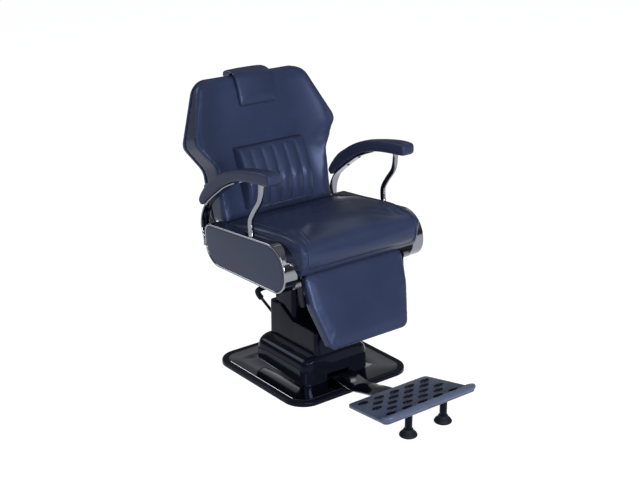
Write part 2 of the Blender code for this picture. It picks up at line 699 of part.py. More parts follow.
combine(lever_rod, turned_y("cut_lever_hole", hole_ends, LEVER_X, LEVER_Z, "", 14, True), 'DIFFERENCE')
elbow = grip_start + rod_dir * 0.030
grip_bend = [(0.002, 0.006), (0.016, 0.013), (0.040, 0.014), (0.066, 0.014)]
grip_path = [grip_start, grip_start + rod_dir * 0.016]
grip_path = smooth(grip_path + [elbow + np.array([dx, 0.0, dz]) for dx, dz in grip_bend], 4)
grip_radii = [GRIP_R - 0.001] + [GRIP_R] * (len(grip_path) - 2) + [GRIP_R - 0.002]
lever_grip = add("lever_grip", *loft(rod3(grip_path, grip_radii)), "rubber")
bore_path = [grip_start - rod_dir * THROUGH, grip_start, rod_end + rod_dir * GAP]
grip_bore = loft(rod3(bore_path, [LEVER_ROD_R + GAP] * 3))
combine(lever_grip, add("cut_grip_bore", *grip_bore, "", True), 'DIFFERENCE')
settle(hub_point)

# Lift: ram with a swivel peg, flange under the hub, box cover that rises with the ram
turned_z("lift_ram", [(RAM_R, RAM_BOTTOM), (RAM_R, RAM_SHOULDER), (PEG_R, RAM_SHOULDER),
                      (PEG_R, HUB_TOP - 0.005)], 0.0, RAM_Y, "steel")
ring_z("swivel_flange", PEG_R + GAP, SWIVEL_FLANGE_R, FLANGE_Z, FLANGE_Z + SWIVEL_FLANGE_T,
       0.0, RAM_Y, "steel")
inner = round_rect(UPPER_HX - COVER_T, UPPER_HY - COVER_T, UPPER_CORNER - COVER_T * 0.7, 5, 0.0, RAM_Y)
upper_rings = [in_z(inner, UPPER_TOP - COVER_T), in_z(inner, UPPER_BOTTOM)]
edge = 0.006
for z, d in ((UPPER_BOTTOM, 0.0), (UPPER_TOP - edge, 0.0), (UPPER_TOP - edge * 0.3, edge * 0.3),
             (UPPER_TOP, edge)):
    upper_rings.append(in_z(round_rect(UPPER_HX - d, UPPER_HY - d, UPPER_CORNER - d * 0.6, 5, 0.0, RAM_Y), z))
upper_cover = add("upper_cover", *loft(upper_rings), "gloss_plastic")
hole_ends = [(RAM_R + GAP, UPPER_TOP - 2 * THROUGH), (RAM_R + GAP, UPPER_TOP + THROUGH)]
combine(upper_cover, turned_z("cut_ram_hole", hole_ends, 0.0, RAM_Y, "", 28, True), 'DIFFERENCE')
settle((0.0, RAM_Y, 0.0))

# Seat: hub, frame of a plate, two rails and two cross tubes, board
ring_z("swivel_hub", PEG_R + HOLE_GAP, HUB_R, -HUB_H, 0.0, 0.0, 0.0, "black_paint")
seat_frame = block("seat_frame", -RAIL_OUT, RAIL_OUT, -FRAME_PLATE_HALF, FRAME_PLATE_HALF, GAP,
                   RAIL_Z + OVERLAP, "black_paint")
for side, sign in SIDES:
    x0, x1 = sorted((sign * RAIL_IN, sign * RAIL_OUT))
    rail = block("join_rail_" + side, x0, x1, RAIL_FRONT, RAIL_REAR, RAIL_Z, CROSS_Z + OVERLAP, "", True)
    combine(seat_frame, rail, 'UNION')
for name, y in (("front", RAIL_FRONT + CROSS_INSET), ("rear", RAIL_REAR - 0.040)):
    tube = block("join_cross_" + name, -POD_IN + GAP, POD_IN - GAP, y - CROSS_HALF, y + CROSS_HALF,
                 CROSS_Z, CROSS_Z + CROSS_H, "", True)
    combine(seat_frame, tube, 'UNION')
board = round_rect(BOARD_HX, BOARD_HY, 0.020, 4, 0.0, BOARD_Y)
prism_z("seat_board", board, BOARD_Z, BOARD_Z + BOARD_T, "wood")

# Seat cushion: side profile carried across the width, crowned, with a rolled front and rounded sides
side_profile = [(0.100, 0.0), (-0.232, 0.0), (-0.277, 0.0), (-0.318, 0.003), (-0.339, 0.0204), (-0.348, 0.0484),
                (-0.345, 0.0754), (-0.332, 0.0944), (-0.302, 0.1064), (-0.237, 0.1094), (-0.137, 0.1004),
                (-0.029, 0.0884), (0.050, 0.0774), (0.096, 0.0680), (0.116, 0.0590), (0.1235, 0.0400),
                (0.1215, 0.0150), (0.112, 0.001)]
side_profile = [(y, max(h, 0.0)) for y, h in smooth(side_profile, 2)]
rounding = [(0.0, 0.0), (0.35, 0.0), (0.6, 0.0), (0.78, 0.0), (0.91, 0.0), (0.955, 0.0018), (0.985, 0.006),
            (1.0, 0.013)]
stations = [(-share, shrink) for share, shrink in reversed(rounding[1:])] + rounding
seat_rings = []
for share, shrink in stations:
    crown = SEAT_CROWN * max(0.0, 1.0 - (abs(share) / 0.96) ** 2.2)
    ring = []
    for y, h in inset(side_profile, shrink):
        bulge = 0.45 * crown * limit((-0.262 - y) / 0.08)
        rise = crown * limit((h - 0.0474) / 0.06) * limit((0.100 - y) / 0.25)
        ring.append((share * CUSHION_HX, y - bulge, CUSHION_Z + h + rise))
    seat_rings.append(ring)
add("seat_cushion", *loft(seat_rings), "leather")

# Side pods: chrome band with a bead, wooden core, upholstered outer panel
pod_outline = rounded([(POD_FRONT, POD_FRONT_LOW), (POD_FRONT, POD_FRONT_TOP), (POD_REAR, POD_REAR_TOP),
                       (POD_REAR, POD_REAR_LOW)], POD_RADII, 9)
bead_low = POD_OUT - BEAD / 2
band_section = [(0.0, POD_IN), (0.0, bead_low), (BEAD * 0.15, POD_OUT - BEAD / 8), (BEAD / 2, POD_OUT),
                (BEAD * 0.85, POD_OUT - BEAD / 8), (BEAD, bead_low), (BAND_T, bead_low - 0.0005),
                (BAND_T, POD_IN)]
panel_section = [(BEAD + GAP, POD_OUT - PANEL_T + GAP), (BEAD + GAP, POD_OUT - 0.0045),
                 (BEAD + 0.004, POD_OUT - 0.0022), (BEAD + 0.020, POD_OUT - 0.0012)]
for side, sign in SIDES:
    rings = [in_x(inset(pod_outline, d), sign * x) for d, x in band_section]
    add("pod_band_" + side, *loft(rings, closed_path=True), "chrome")
    core = inset(pod_outline, BAND_T + GAP)
    prism_x("pod_core_" + side, core, sign * POD_IN, sign * (POD_OUT - PANEL_T), "wood")
    rings = [in_x(inset(pod_outline, d), sign * x) for d, x in panel_section]
    add("pod_panel_" + side, *loft(rings), "leather")

# Armrests: moulded pad, bent rear bar down to the pod's back edge, S-shaped post on the pod's top edge
pad_top = [(-0.241, 0.410), (-0.228, 0.415), (-0.192, 0.4145), (-0.150, 0.409), (-0.082, 0.396),
           (-0.007, 0.377), (0.052, 0.351), (0.091, 0.327), (0.128, 0.302), (0.155, 0.274), (0.178, 0.243),
           (0.189, 0.218)]
pad_under = [(-0.243, 0.382), (-0.233, 0.372), (-0.205, 0.3685), (-0.167, 0.365), (-0.097, 0.356),
             (-0.027, 0.339), (0.034, 0.309), (0.073, 0.282), (0.110, 0.255), (0.140, 0.231), (0.162, 0.212),
             (0.171, 0.204)]
bar_foot = POD_REAR + GAP + BAR_T + BAR_GAP
bar_bend = [(-0.0109, 0.207), (0.0066, 0.176), (0.0146, 0.146), (0.0151, 0.121), (0.0091, 0.101),
            (0.0031, 0.085), (0.0, 0.069), (0.0, 0.051)]        # behind the foot, height
bar_face = pad_under[5:10] + [(bar_foot + behind, z) for behind, z in bar_bend]
bar_path = [tuple(p - n * (BAR_T / 2 + BAR_GAP)) for p, n in zip(*path_frames(smooth(bar_face, 2)))]

post_seat = np.array(pad_under[3])
under_slope = np.array(pad_under[4]) - np.array(pad_under[2])
post_down = np.array([under_slope[1], -under_slope[0]]) / np.linalg.norm(under_slope)
top_slope = (POD_REAR_TOP - POD_FRONT_TOP) / (POD_REAR - POD_FRONT)
post_foot = np.array([POST_FOOT_Y, POD_FRONT_TOP + top_slope * (POST_FOOT_Y - POD_FRONT)])
foot_up = np.array([-top_slope, 1.0]) / math.hypot(top_slope, 1.0)
post_bend = [(-0.165, 0.323), (-0.156, 0.296), (-0.126, 0.256), (-0.105, 0.221), (-0.103, 0.193)]
post_path = [post_seat + post_down * POST_GAP]
post_path += smooth([post_seat + post_down * 0.010] + post_bend + [post_foot + foot_up * 0.010], 3)
post_path.append(post_foot + foot_up * POST_GAP)

pad_section = []
for k in range(14):
    c, s = math.cos(2 * math.pi * (k + 0.5) / 14), math.sin(2 * math.pi * (k + 0.5) / 14)
    pad_section.append((math.copysign(abs(c) ** 0.55, c), math.copysign(abs(s) ** 0.55, s)))
pad_stations = list(zip(smooth(pad_top, 2), smooth(pad_under, 2)))
pad_size = [1.0] * len(pad_stations)
pad_size[:2] = (0.86, 0.98)
pad_size[-2:] = (0.95, 0.72)
for side, sign in SIDES:
    rings = []
    for (t, b), size in zip(pad_stations, pad_size):
        mid = (np.array(t) + b) / 2
        high = (np.array(t) - b) / 2 * size
        wide = ARM_W / 2 * size
        rings.append([(sign * (ARM_X + u * wide), *(mid + high * v)) for u, v in pad_section])
    add("arm_pad_" + side, *loft(rings), "soft_plastic")
    strap("arm_bar_" + side, bar_path, BAR_W, BAR_T, sign * ARM_X, "chrome")
    rings = rod3([(sign * POST_X, y, z) for y, z in post_path], [POST_R] * len(post_path), 12)
    add("arm_post_" + side, *loft(rings), "chrome")

# Recline and leg rest pins on the pods; the recline pins have a plate that reaches onto the pod
plate_shape = [(-0.047, -0.037), (-0.023, -0.037), (0.014, -0.008), (0.014, 0.008), (0.005, 0.015),
               (-0.009, 0.013), (-0.016, 0.001), (-0.047, -0.005)]
for side, sign in SIDES:
    for name, y, z in (("recline_pin_", PIVOT_Y, PIVOT_Z), ("legrest_pin_", KNEE_Y, KNEE_Z)):
        collar = ARM_PLATE_OUT + 2 * WASHER
        profile = [(PIVOT_R, ARM_PLATE_IN - 0.0025), (PIVOT_R, collar), (COLLAR_R, collar),
                   (COLLAR_R, POD_IN - GAP)]
        pin = turned_x(name + side, [(r, sign * x) for r, x in profile], y, z, "steel")
        if y == PIVOT_Y:
            plate = [(y + dy, z + dz) for dy, dz in plate_shape]
            inner_x = CUSHION_HX + GAP
            plate = prism_x("join_plate_" + side, plate, sign * inner_x, sign * (POD_IN - GAP), "", True)
            combine(pin, plate, 'UNION')

# Pin of the recline lever
release_head = RELEASE_X + RELEASE_HUB_L + 2 * OVERLAP
release_profile = [(RELEASE_PIN_R, RELEASE_X), (RELEASE_PIN_R, release_head),
                   (RELEASE_PIN_R + 0.003, release_head), (RELEASE_PIN_R + 0.0025, release_head + 0.003)]
turned_x("release_pin", release_profile, RELEASE_Y, RELEASE_Z, "steel")
settle(datum=SEAT_DATUM)

# Backrest: upholstered cushion with wings, rear shell
back_half = [(TOP_HX, BACK_TOP, 0.065), (WING_HX, WING_Z, 0.036), (WAIST_HX, WAIST_Z, 0.060),
             (LOW_HX, BACK_LOW, 0.020)]
back_corners = [(-x, z) for x, z, _ in back_half] + [(x, z) for x, z, _ in reversed(back_half)]
back_radii = [r for *_, r in back_half] + [r for *_, r in reversed(back_half)]
back_outline = divided(rounded(back_corners, back_radii, 4), 0.055)


def wing(x, z):
    """How far the wings come forward: not in the middle, most at their widest place."""
    levels = [BACK_LOW, WAIST_Z, WING_Z, BACK_TOP]
    half = float(np.interp(z, levels, [LOW_HX, WAIST_HX, WING_HX, TOP_HX]))
    t = limit((abs(x) - WING_START) / max(0.02, half - WING_START))
    return WING_DEPTH * float(np.interp(z, levels, [0.2, 0.82, 1.0, 0.4])) * t * t


def lean(z):
    """Fall of the sides towards the rear: square to the front above the waist, level at the foot."""
    return BACK_SLOPE * limit((z - BACK_LOW) / (WAIST_Z - BACK_LOW))


def in_back(x, z, behind):
    """Point behind a place of the outline on the front plane."""
    return (x, front_plane(z) + behind, z - lean(z) * behind)


def on_rear(x, z, ahead):
    """Point ahead of the rear plane, behind a place of the outline."""
    return in_back(x, z, (rear_plane(z) - ahead - front_plane(z)) / (1.0 + REAR_SLOPE * lean(z)))


back_rings = [[on_rear(x, z, SHELL_T + GAP) for x, z in back_outline]]
for depth, behind in ((0.0, 0.014), (0.003, 0.006), (0.009, 0.0015), (0.018, 0.0)):
    back_rings.append([in_back(x, z, behind - wing(x, z)) for x, z in inset(back_outline, depth)])
for s in (0.90, 0.78, 0.62, 0.42, 0.2):
    shrunk = [(x * s, BACK_Z + (z - BACK_Z) * s) for x, z in inset(back_outline, 0.018)]
    back_rings.append([in_back(x, z, -wing(x, z)) for x, z in shrunk])
back_cushion = add("back_cushion", *loft(back_rings), "leather")

shell_rings = []
for depth, ahead in ((0.0015, SHELL_T), (0.0, SHELL_T - 0.003), (0.001, 0.005), (0.006, 0.0)):
    shell_rings.append([on_rear(x, z, ahead) for x, z in inset(back_outline, depth)])
add("back_shell", *loft(shell_rings), "leather")

# Lumbar cushion: swells ahead of the back's front plane, with vertical channels.
# Its shape is a list of shares of its height and of its swell.
lumbar_shares = [(0.0114, 0.3242), (0.0547, 0.5393), (0.1686, 0.7239), (0.3280, 0.8941), (0.4875, 1.0),
                 (0.6697, 0.9583), (0.8064, 0.8748), (0.9203, 0.7544), (0.9841, 0.6100), (1.0, 0.3579)]
lumbar_shape = [(h * LUMBAR_H, depth * LUMBAR_SWELL) for h, depth in lumbar_shares]
lumbar_low, lumbar_high = lumbar_shape[0][0], lumbar_shape[-1][0]
lumbar_foot = BACK_LOW + LUMBAR_UP
channel_steps = 4
lumbar_rings = []
for i in range(LUMBAR_CHANNELS * channel_steps + 1):
    share = 2.0 * i / (LUMBAR_CHANNELS * channel_steps) - 1.0
    puff = math.sin(math.pi * (i % channel_steps) / channel_steps) ** 0.6
    rear_gap = GAP + LUMBAR_EDGE * limit((abs(share) - 0.7) / 0.3)
    ring = []
    for h, depth in smooth(lumbar_shape, 2):
        from_end = min(h - lumbar_low, lumbar_high - h)
        groove = CHANNEL_DEPTH * (1.0 - puff) * limit(from_end / (0.09 * LUMBAR_H))
        swell = depth * 0.55 if abs(share) == 1.0 else depth - groove
        ahead = max(swell, rear_gap + OVERLAP)
        ring.append((share * LUMBAR_HX, front_plane(lumbar_foot + h) - ahead, lumbar_foot + h))
    for rear_share in (0.9795, 0.6469, 0.3280, 0.0205):
        h = rear_share * LUMBAR_H
        ring.append((share * LUMBAR_HX, front_plane(lumbar_foot + h) - rear_gap, lumbar_foot + h))
    lumbar_rings.append(ring)
add("lumbar_cushion", *loft(lumbar_rings), "leather")

# Guide sleeve of the headrest bar, in a pocket of the back cushion
travel = np.array([BACK_SLOPE, 1.0]) / math.hypot(BACK_SLOPE, 1.0)      # headrest travel as (y, z)
athwart = np.array([travel[1], -travel[0]])


def from_top(h, ahead):
    """Point in the YZ plane above the back's top edge and ahead of its front plane."""
    return np.array([TOP_FRONT_Y, BACK_TOP]) + travel * h - athwart * ahead


bar_top = from_top(HEAD_LIFT - GAP, -HEAD_BAR_IN)


def slanted(name, half_w, half_t, top, low, mat, cutter=False):
    """Box along the headrest travel."""
    ends = []
    for s in (low, top):
        ring = []
        for u, v in ((-1, -1), (1, -1), (1, 1), (-1, 1)):
            q = bar_top + travel * s + athwart * v * half_t
            ring.append((u * half_w, q[0], q[1]))
        ends.append(ring)
    return add(name, *loft(ends), mat, cutter)


slot = 0.0005           # clearance of the bar in its sleeve
sleeve_hx, sleeve_ht = HEAD_BAR_HX + slot + 1.75 * GUIDE_WALL, HEAD_BAR_HT + slot + GUIDE_WALL
sleeve_low = -HEAD_BAR_L - 0.004 - 2 * GUIDE_WALL
guide = slanted("headrest_guide", sleeve_hx, sleeve_ht, -GUIDE_DOWN, sleeve_low, "soft_plastic")
slot_low = -HEAD_BAR_L - 0.004
cut = slanted("cut_guide", HEAD_BAR_HX + slot, HEAD_BAR_HT + slot, 2 * THROUGH, slot_low, "", True)
combine(guide, cut, 'DIFFERENCE')
cut = slanted("cut_pocket", sleeve_hx + GAP, sleeve_ht + GAP, 3 * THROUGH, sleeve_low - GAP, "", True)
combine(back_cushion, cut, 'DIFFERENCE')


# Back arms: plates from the recline pins to the rear of the shell; the left one carries the crank
def behind_shell(h, d):
    """Point behind the shell, as shares of the arm's rise above the back's lower edge and of its depth."""
    z = BACK_LOW + h * ARM_RISE
    return (rear_plane(z) + d * ARM_DEPTH, z)


on_shell = GAP / ARM_DEPTH
arm_rest = [behind_shell(-0.258, 0.7614), behind_shell(0.0968, 1.0), behind_shell(0.9032, 0.6819),
            behind_shell(1.0, 0.3837), behind_shell(0.9839, on_shell), behind_shell(-0.0645, on_shell),
            behind_shell(-0.1774, -0.5169), (PIVOT_Y - 0.004, PIVOT_Z + 0.018),
            (PIVOT_Y - 0.018, PIVOT_Z + 0.008), (PIVOT_Y - 0.018, PIVOT_Z - 0.006)]
plain_arm = arm_rest + [(PIVOT_Y - 0.006, PIVOT_Z - 0.018), (PIVOT_Y + 0.012, PIVOT_Z - 0.014)]
crank_tip = [(-0.013, -0.003), (-0.006, -0.012), (0.006, -0.012), (0.013, -0.002)]
crank_arm = arm_rest + [(CRANK_BACK[0] + dy, CRANK_BACK[1] + dz) for dy, dz in crank_tip]
crank_arm.append((PIVOT_Y + 0.028, PIVOT_Z - 0.008))
for side, sign in SIDES:
    poly = crank_arm if sign > 0 else plain_arm
    arm = prism_x("back_arm_" + side, poly, sign * ARM_PLATE_IN, sign * ARM_PLATE_OUT, "black_paint")
    drill_x(arm, "cut_back_arm_" + side, PIVOT_R + HOLE_GAP, sign, PIVOT_Y, PIVOT_Z)
    if sign > 0:
        drill_x(arm, "cut_crank_back", LINK_PIN_R + GAP, sign, *CRANK_BACK)


def link_pin(name, y, z):
    head = LINK_IN - WASHER
    turned_x(name, [(LINK_PIN_R + 0.003, head - 0.0034), (LINK_PIN_R + 0.003, head), (LINK_PIN_R, head),
                    (LINK_PIN_R, ARM_PLATE_OUT)], y, z, "steel")


link_pin("link_pin_back", *CRANK_BACK)
settle((0.0, PIVOT_Y, PIVOT_Z), SEAT_DATUM)

# Headrest: pad that hooks over the top of the back, on a flat bar
head_profile = [(-0.120, 0.0090), (-0.110, 0.0160), (-0.066, 0.0200), (-0.028, 0.0200), (-0.010, 0.0175),
                (0.004, 0.0085), (0.013, -0.0060), (0.020, -0.0250), (0.0245, -0.0450), (0.023, -0.0590),
                (0.015, -0.0675), (HEAD_LIFT + 0.004, -0.0690), (HEAD_LIFT, -0.0630), (HEAD_LIFT, -0.0289),
                (HEAD_LIFT, -0.0034), (-0.016, HEAD_GAP), (-0.051, HEAD_GAP), (-0.086, HEAD_GAP),
                (-0.115, HEAD_GAP)]        # above the back's top edge, ahead of its front plane
head_half = [(0.0, 0.0, 1.0), (0.6, 0.0, 0.75), (0.88, 0.0, 0.4), (0.97, 0.001, 0.15), (1.0, 0.003, 0.0)]
head_stations = [(-share, shrink, crown) for share, shrink, crown in reversed(head_half[1:])] + head_half
head_rings = []
for share, shrink, crown in head_stations:
    ring = []
    for h, ahead in inset(head_profile, shrink):
        bulge = HEAD_BULGE * crown * limit((ahead - 0.003) / 0.006) * limit((h + 0.118) / 0.02)
        rise = HEAD_RISE * crown * limit((h - 0.010) / 0.006)
        ring.append((share * HEAD_HX, *from_top(h + rise, ahead + bulge)))
    head_rings.append(ring)
add("headrest_pad", *loft(head_rings), "leather")
slanted("headrest_bar", HEAD_BAR_HX, HEAD_BAR_HT, 0.0, -HEAD_BAR_L, "chrome")
settle((0.0, *bar_top), SEAT_DATUM)

# Leg rest: tapered pad on a steel frame with two lugs
down = np.array([-math.sin(PAD_TILT), -math.cos(PAD_TILT)])
forward = np.array([-math.cos(PAD_TILT), math.sin(PAD_TILT)])
pad_top_edge = np.array([KNEE_Y - PAD_AHEAD, KNEE_Z + PAD_ABOVE])
pad_half = [(PAD_TOP_HX, 0.0, 0.022), (PAD_MID_HX, 0.45 * PAD_L, 0.15), (PAD_LOW_HX, PAD_L, 0.030)]
pad_corners = [(-u, s) for u, s, _ in pad_half] + [(u, s) for u, s, _ in reversed(pad_half)]
pad_radii = [r for *_, r in pad_half] + [r for *_, r in reversed(pad_half)]
pad_outline = rounded(pad_corners, pad_radii, 5)


def on_pad(u, s, h):
    """Point of the leg rest: across, down the front face, and back from it."""
    p = pad_top_edge + down * s - forward * h
    return (u, p[0], p[1])


pad_rings = []
for depth, h in ((0.010, PAD_T), (0.002, PAD_T - 0.006), (0.0, PAD_T - 0.014), (0.0, 0.018), (0.003, 0.009),
                 (0.012, 0.0025), (0.024, 0.0)):
    pad_rings.append([on_pad(u, s, h) for u, s in inset(pad_outline, depth)])
for scale, rise in ((0.75, 0.0035), (0.45, 0.0060), (0.2, 0.0070)):
    pad_rings.append([on_pad(u * scale, PAD_L / 2 + (s - PAD_L / 2) * scale, -rise)
                      for u, s in inset(pad_outline, 0.024)])
add("legrest_pad", *loft(pad_rings), "leather")

frame_front = PAD_T + GAP
frame_back = frame_front + FRAME_T


def pad_box(name, half_w, s0, s1, mat, cutter):
    """Flat bar behind the pad."""
    rings = []
    for s in (s0, s1):
        rings.append([on_pad(-half_w, s, frame_front), on_pad(half_w, s, frame_front),
                      on_pad(half_w, s, frame_back), on_pad(-half_w, s, frame_back)])
    return add(name, *loft(rings), mat, cutter)


legrest_frame = pad_box("legrest_frame", FRAME_HX, FRAME_FROM, FRAME_TO, "black_paint", False)
combine(legrest_frame, pad_box("join_strip", ARM_PLATE_OUT - WASHER, STRIP_TOP, STRIP_LOW, "", True), 'UNION')
grip_top, grip_low = STRIP_TOP - 0.004, STRIP_LOW + 0.004
strip_grip = [on_pad(0.0, grip_top, frame_front - 0.020), on_pad(0.0, grip_low, frame_front - 0.014),
              on_pad(0.0, grip_low, frame_back + OVERLAP), on_pad(0.0, grip_top, frame_back + OVERLAP)]
lug_top = [(0.015, 0.008), (0.004, 0.016), (-0.009, 0.014), (-0.016, 0.004), (-0.013, -0.012)]
lug_rest = [(KNEE_Y + dy, KNEE_Z + dz) for dy, dz in lug_top] + [p[1:] for p in strip_grip]
plain_lug = lug_rest + [(KNEE_Y + 0.017, KNEE_Z - 0.006)]
lug_tip = [(-0.004, -0.012), (0.008, -0.010), (0.013, 0.002)]
crank_lug = lug_rest[:-1] + [(CRANK_LEG[0] + dy, CRANK_LEG[1] + dz) for dy, dz in lug_tip]
crank_lug.append((KNEE_Y + 0.022, KNEE_Z - 0.016))
for side, sign in SIDES:
    poly = crank_lug if sign > 0 else plain_lug
    lug = prism_x("join_lug_" + side, poly, sign * ARM_PLATE_IN, sign * ARM_PLATE_OUT, "", True)
    combine(legrest_frame, lug, 'UNION')
    drill_x(legrest_frame, "cut_lug_" + side, PIVOT_R + HOLE_GAP, sign, KNEE_Y, KNEE_Z)
drill_x(legrest_frame, "cut_crank_leg", LINK_PIN_R + GAP, 1, *CRANK_LEG)
link_pin("link_pin_leg", *CRANK_LEG)
settle((0.0, KNEE_Y, KNEE_Z), SEAT_DATUM)

# Link between the two cranks; its front hole has the clearance of the opened linkage
along = np.array(CRANK_BACK) - np.array(CRANK_LEG)
along /= np.linalg.norm(along)
across = np.array([-along[1], along[0]])
link_poly = []
for end, centre in ((1, CRANK_BACK), (-1, CRANK_LEG)):
    for k in range(9):
        a = math.pi * (k / 8 - 0.5)
        link_poly.append(tuple(centre + end * LINK_HALF * (along * math.cos(a) + across * math.sin(a))))
link_rod = prism_x("link_rod", link_poly, LINK_IN, LINK_OUT, "steel")
drill_x(link_rod, "cut_link_back", LINK_PIN_R + HOLE_GAP, 1, *CRANK_BACK)
drill_x(link_rod, "cut_link_leg", LINK_PIN_R + LINK_OPEN, 1, *CRANK_LEG)
settle(((LINK_IN + LINK_OUT) / 2, *CRANK_BACK), SEAT_DATUM)

# Recline lever under the left side of the seat: cranked rod with a hub, knob
release_x = RELEASE_X + RELEASE_HUB_L / 2 + OVERLAP
release_low = RELEASE_Z - RELEASE_DROP
knob_y = RELEASE_Y - 0.030
release_path = smooth([(release_x, RELEASE_Y, RELEASE_Z - 0.008),
                       (release_x, RELEASE_Y - 0.005, RELEASE_Z - 0.036),
                       (release_x + 0.2 * RELEASE_BEND, RELEASE_Y - 0.010, release_low + 0.008),
                       (release_x + RELEASE_BEND, RELEASE_Y - 0.014, release_low),
                       (RELEASE_END - RELEASE_STRAIGHT, RELEASE_Y - 0.024, release_low),
                       (RELEASE_END, knob_y, release_low)], 3)
release_lever = add("release_lever", *loft(rod3(release_path, [RELEASE_R] * len(release_path), 10)), "chrome")
hub_ends = [(RELEASE_HUB_R, RELEASE_X + OVERLAP), (RELEASE_HUB_R, RELEASE_X + OVERLAP + RELEASE_HUB_L)]
combine(release_lever, turned_x("join_release_hub", hub_ends, RELEASE_Y, RELEASE_Z, "", 16, True), 'UNION')
hole_r = RELEASE_PIN_R + HOLE_GAP
hole_ends = [(hole_r, RELEASE_X - THROUGH), (hole_r, release_head + THROUGH)]
cut = turned_x("cut_release_hole", hole_ends, RELEASE_Y, RELEASE_Z, "", 14, True)
combine(release_lever, cut, 'DIFFERENCE')
knob = [(0.0060, KNOB_GAP), (0.0095, 0.0040), (0.0110, 0.0160), (0.0100, 0.0280), (0.0060, 0.0330)]
turned_x("release_knob", [(r, RELEASE_END + x) for r, x in knob], knob_y, release_low, "soft_plastic")
settle((release_x, RELEASE_Y, RELEASE_Z), SEAT_DATUM)
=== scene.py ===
# %% [markdown]
# # A barber chair, from the frame to the finished picture
#
# The chair's measured parts come in as a frame of plain solids that already move.
# This lesson gives each of them its finish and its finer form: swollen upholstery,
# bent chrome tube, glossy moulded covers. Lengths are in metres, +Z is up and the
# front of the chair faces -Y.

import math

import bmesh
import bpy
import numpy as np
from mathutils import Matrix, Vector
from mathutils.bvhtree import BVHTree


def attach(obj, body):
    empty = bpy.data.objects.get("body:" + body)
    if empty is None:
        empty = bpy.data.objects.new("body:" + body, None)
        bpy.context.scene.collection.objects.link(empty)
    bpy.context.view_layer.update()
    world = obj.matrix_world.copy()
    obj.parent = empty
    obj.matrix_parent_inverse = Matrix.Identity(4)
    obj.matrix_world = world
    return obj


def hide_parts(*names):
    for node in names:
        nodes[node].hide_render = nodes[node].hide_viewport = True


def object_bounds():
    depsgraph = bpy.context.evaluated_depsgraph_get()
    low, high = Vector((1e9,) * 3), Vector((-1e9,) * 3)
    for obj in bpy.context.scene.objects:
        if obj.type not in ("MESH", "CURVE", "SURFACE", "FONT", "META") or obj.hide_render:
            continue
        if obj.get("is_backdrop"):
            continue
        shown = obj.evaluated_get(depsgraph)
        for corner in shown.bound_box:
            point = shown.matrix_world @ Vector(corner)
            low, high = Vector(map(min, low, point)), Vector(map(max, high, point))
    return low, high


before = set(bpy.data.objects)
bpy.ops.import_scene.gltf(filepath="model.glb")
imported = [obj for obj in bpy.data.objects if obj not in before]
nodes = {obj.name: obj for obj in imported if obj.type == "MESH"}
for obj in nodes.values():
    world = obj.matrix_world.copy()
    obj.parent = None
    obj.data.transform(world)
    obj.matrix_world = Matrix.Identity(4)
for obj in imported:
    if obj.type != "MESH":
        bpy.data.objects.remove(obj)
cad_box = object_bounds()
scene = bpy.context.scene

# %% [markdown]
# ## Colours and shader nodes
#
# Colours are noted as sRGB hex values, the way a colour picker shows them. Shaders
# work with linear light, so one function converts them. A second small function adds
# a shader node with its settings and links, which keeps every material short.

# %% Helpers for materials


def linear(hex_colour):
    """sRGB hex to linear RGBA."""
    rgb = [int(hex_colour[k:k + 2], 16) / 255 for k in (1, 3, 5)]
    return tuple(c / 12.92 if c <= 0.04045 else ((c + 0.055) / 1.055) ** 2.4 for c in rgb) + (1.0,)


def put(tree, kind, inputs=None, links=None, **settings):
    """Adds a node; inputs are constants, links are (node, output) pairs."""
    n = tree.nodes.new(kind)
    for key, value in settings.items():
        setattr(n, key, value)
    for key, value in (inputs or {}).items():
        n.inputs[key].default_value = value
    for key, (source, output) in (links or {}).items():
        tree.links.new(source.outputs[output], n.inputs[key])
    return n


def finish(name, slot, constants):
    """New material with a Principled shader; returns material, tree, shader and object coordinates."""
    m = bpy.data.materials.new(name)
    m.use_nodes = True
    tree = m.node_tree
    shader = tree.nodes["Principled BSDF"]
    for key, value in constants.items():
        shader.inputs[key].default_value = value
    m["slot"] = slot
    return m, tree, shader, put(tree, 'ShaderNodeTexCoord')


def vary(tree, source, socket, low, high, shader, key):
    """Links a texture to a shader input, between two values."""
    span = put(tree, 'ShaderNodeMapRange', {"To Min": low, "To Max": high}, {"Value": (source, socket)})
    tree.links.new(span.outputs["Result"], shader.inputs[key])


def bump(tree, source, socket, distance, shader, strength=1.0):
    """Links a texture to a shader's normal as a height in metres."""
    relief = put(tree, 'ShaderNodeBump', {"Strength": strength, "Distance": distance},
                 {"Height": (source, socket)})
    tree.links.new(relief.outputs["Normal"], shader.inputs["Normal"])


print("white is", linear("#FFFFFF")[:3], "and mid grey", round(linear("#808080")[0], 3))

# %% [markdown]
# ## Upholstery
#
# The covers are PU leather: a fabric with a coloured polyurethane skin that is embossed
# with a fine grain. It is a dielectric with a soft, broad gloss, so it is nearly black
# where it faces away from the light and shows its blue where light reaches it. The grain of
# the real material is about one millimetre; it is drawn at three so that it can be seen.

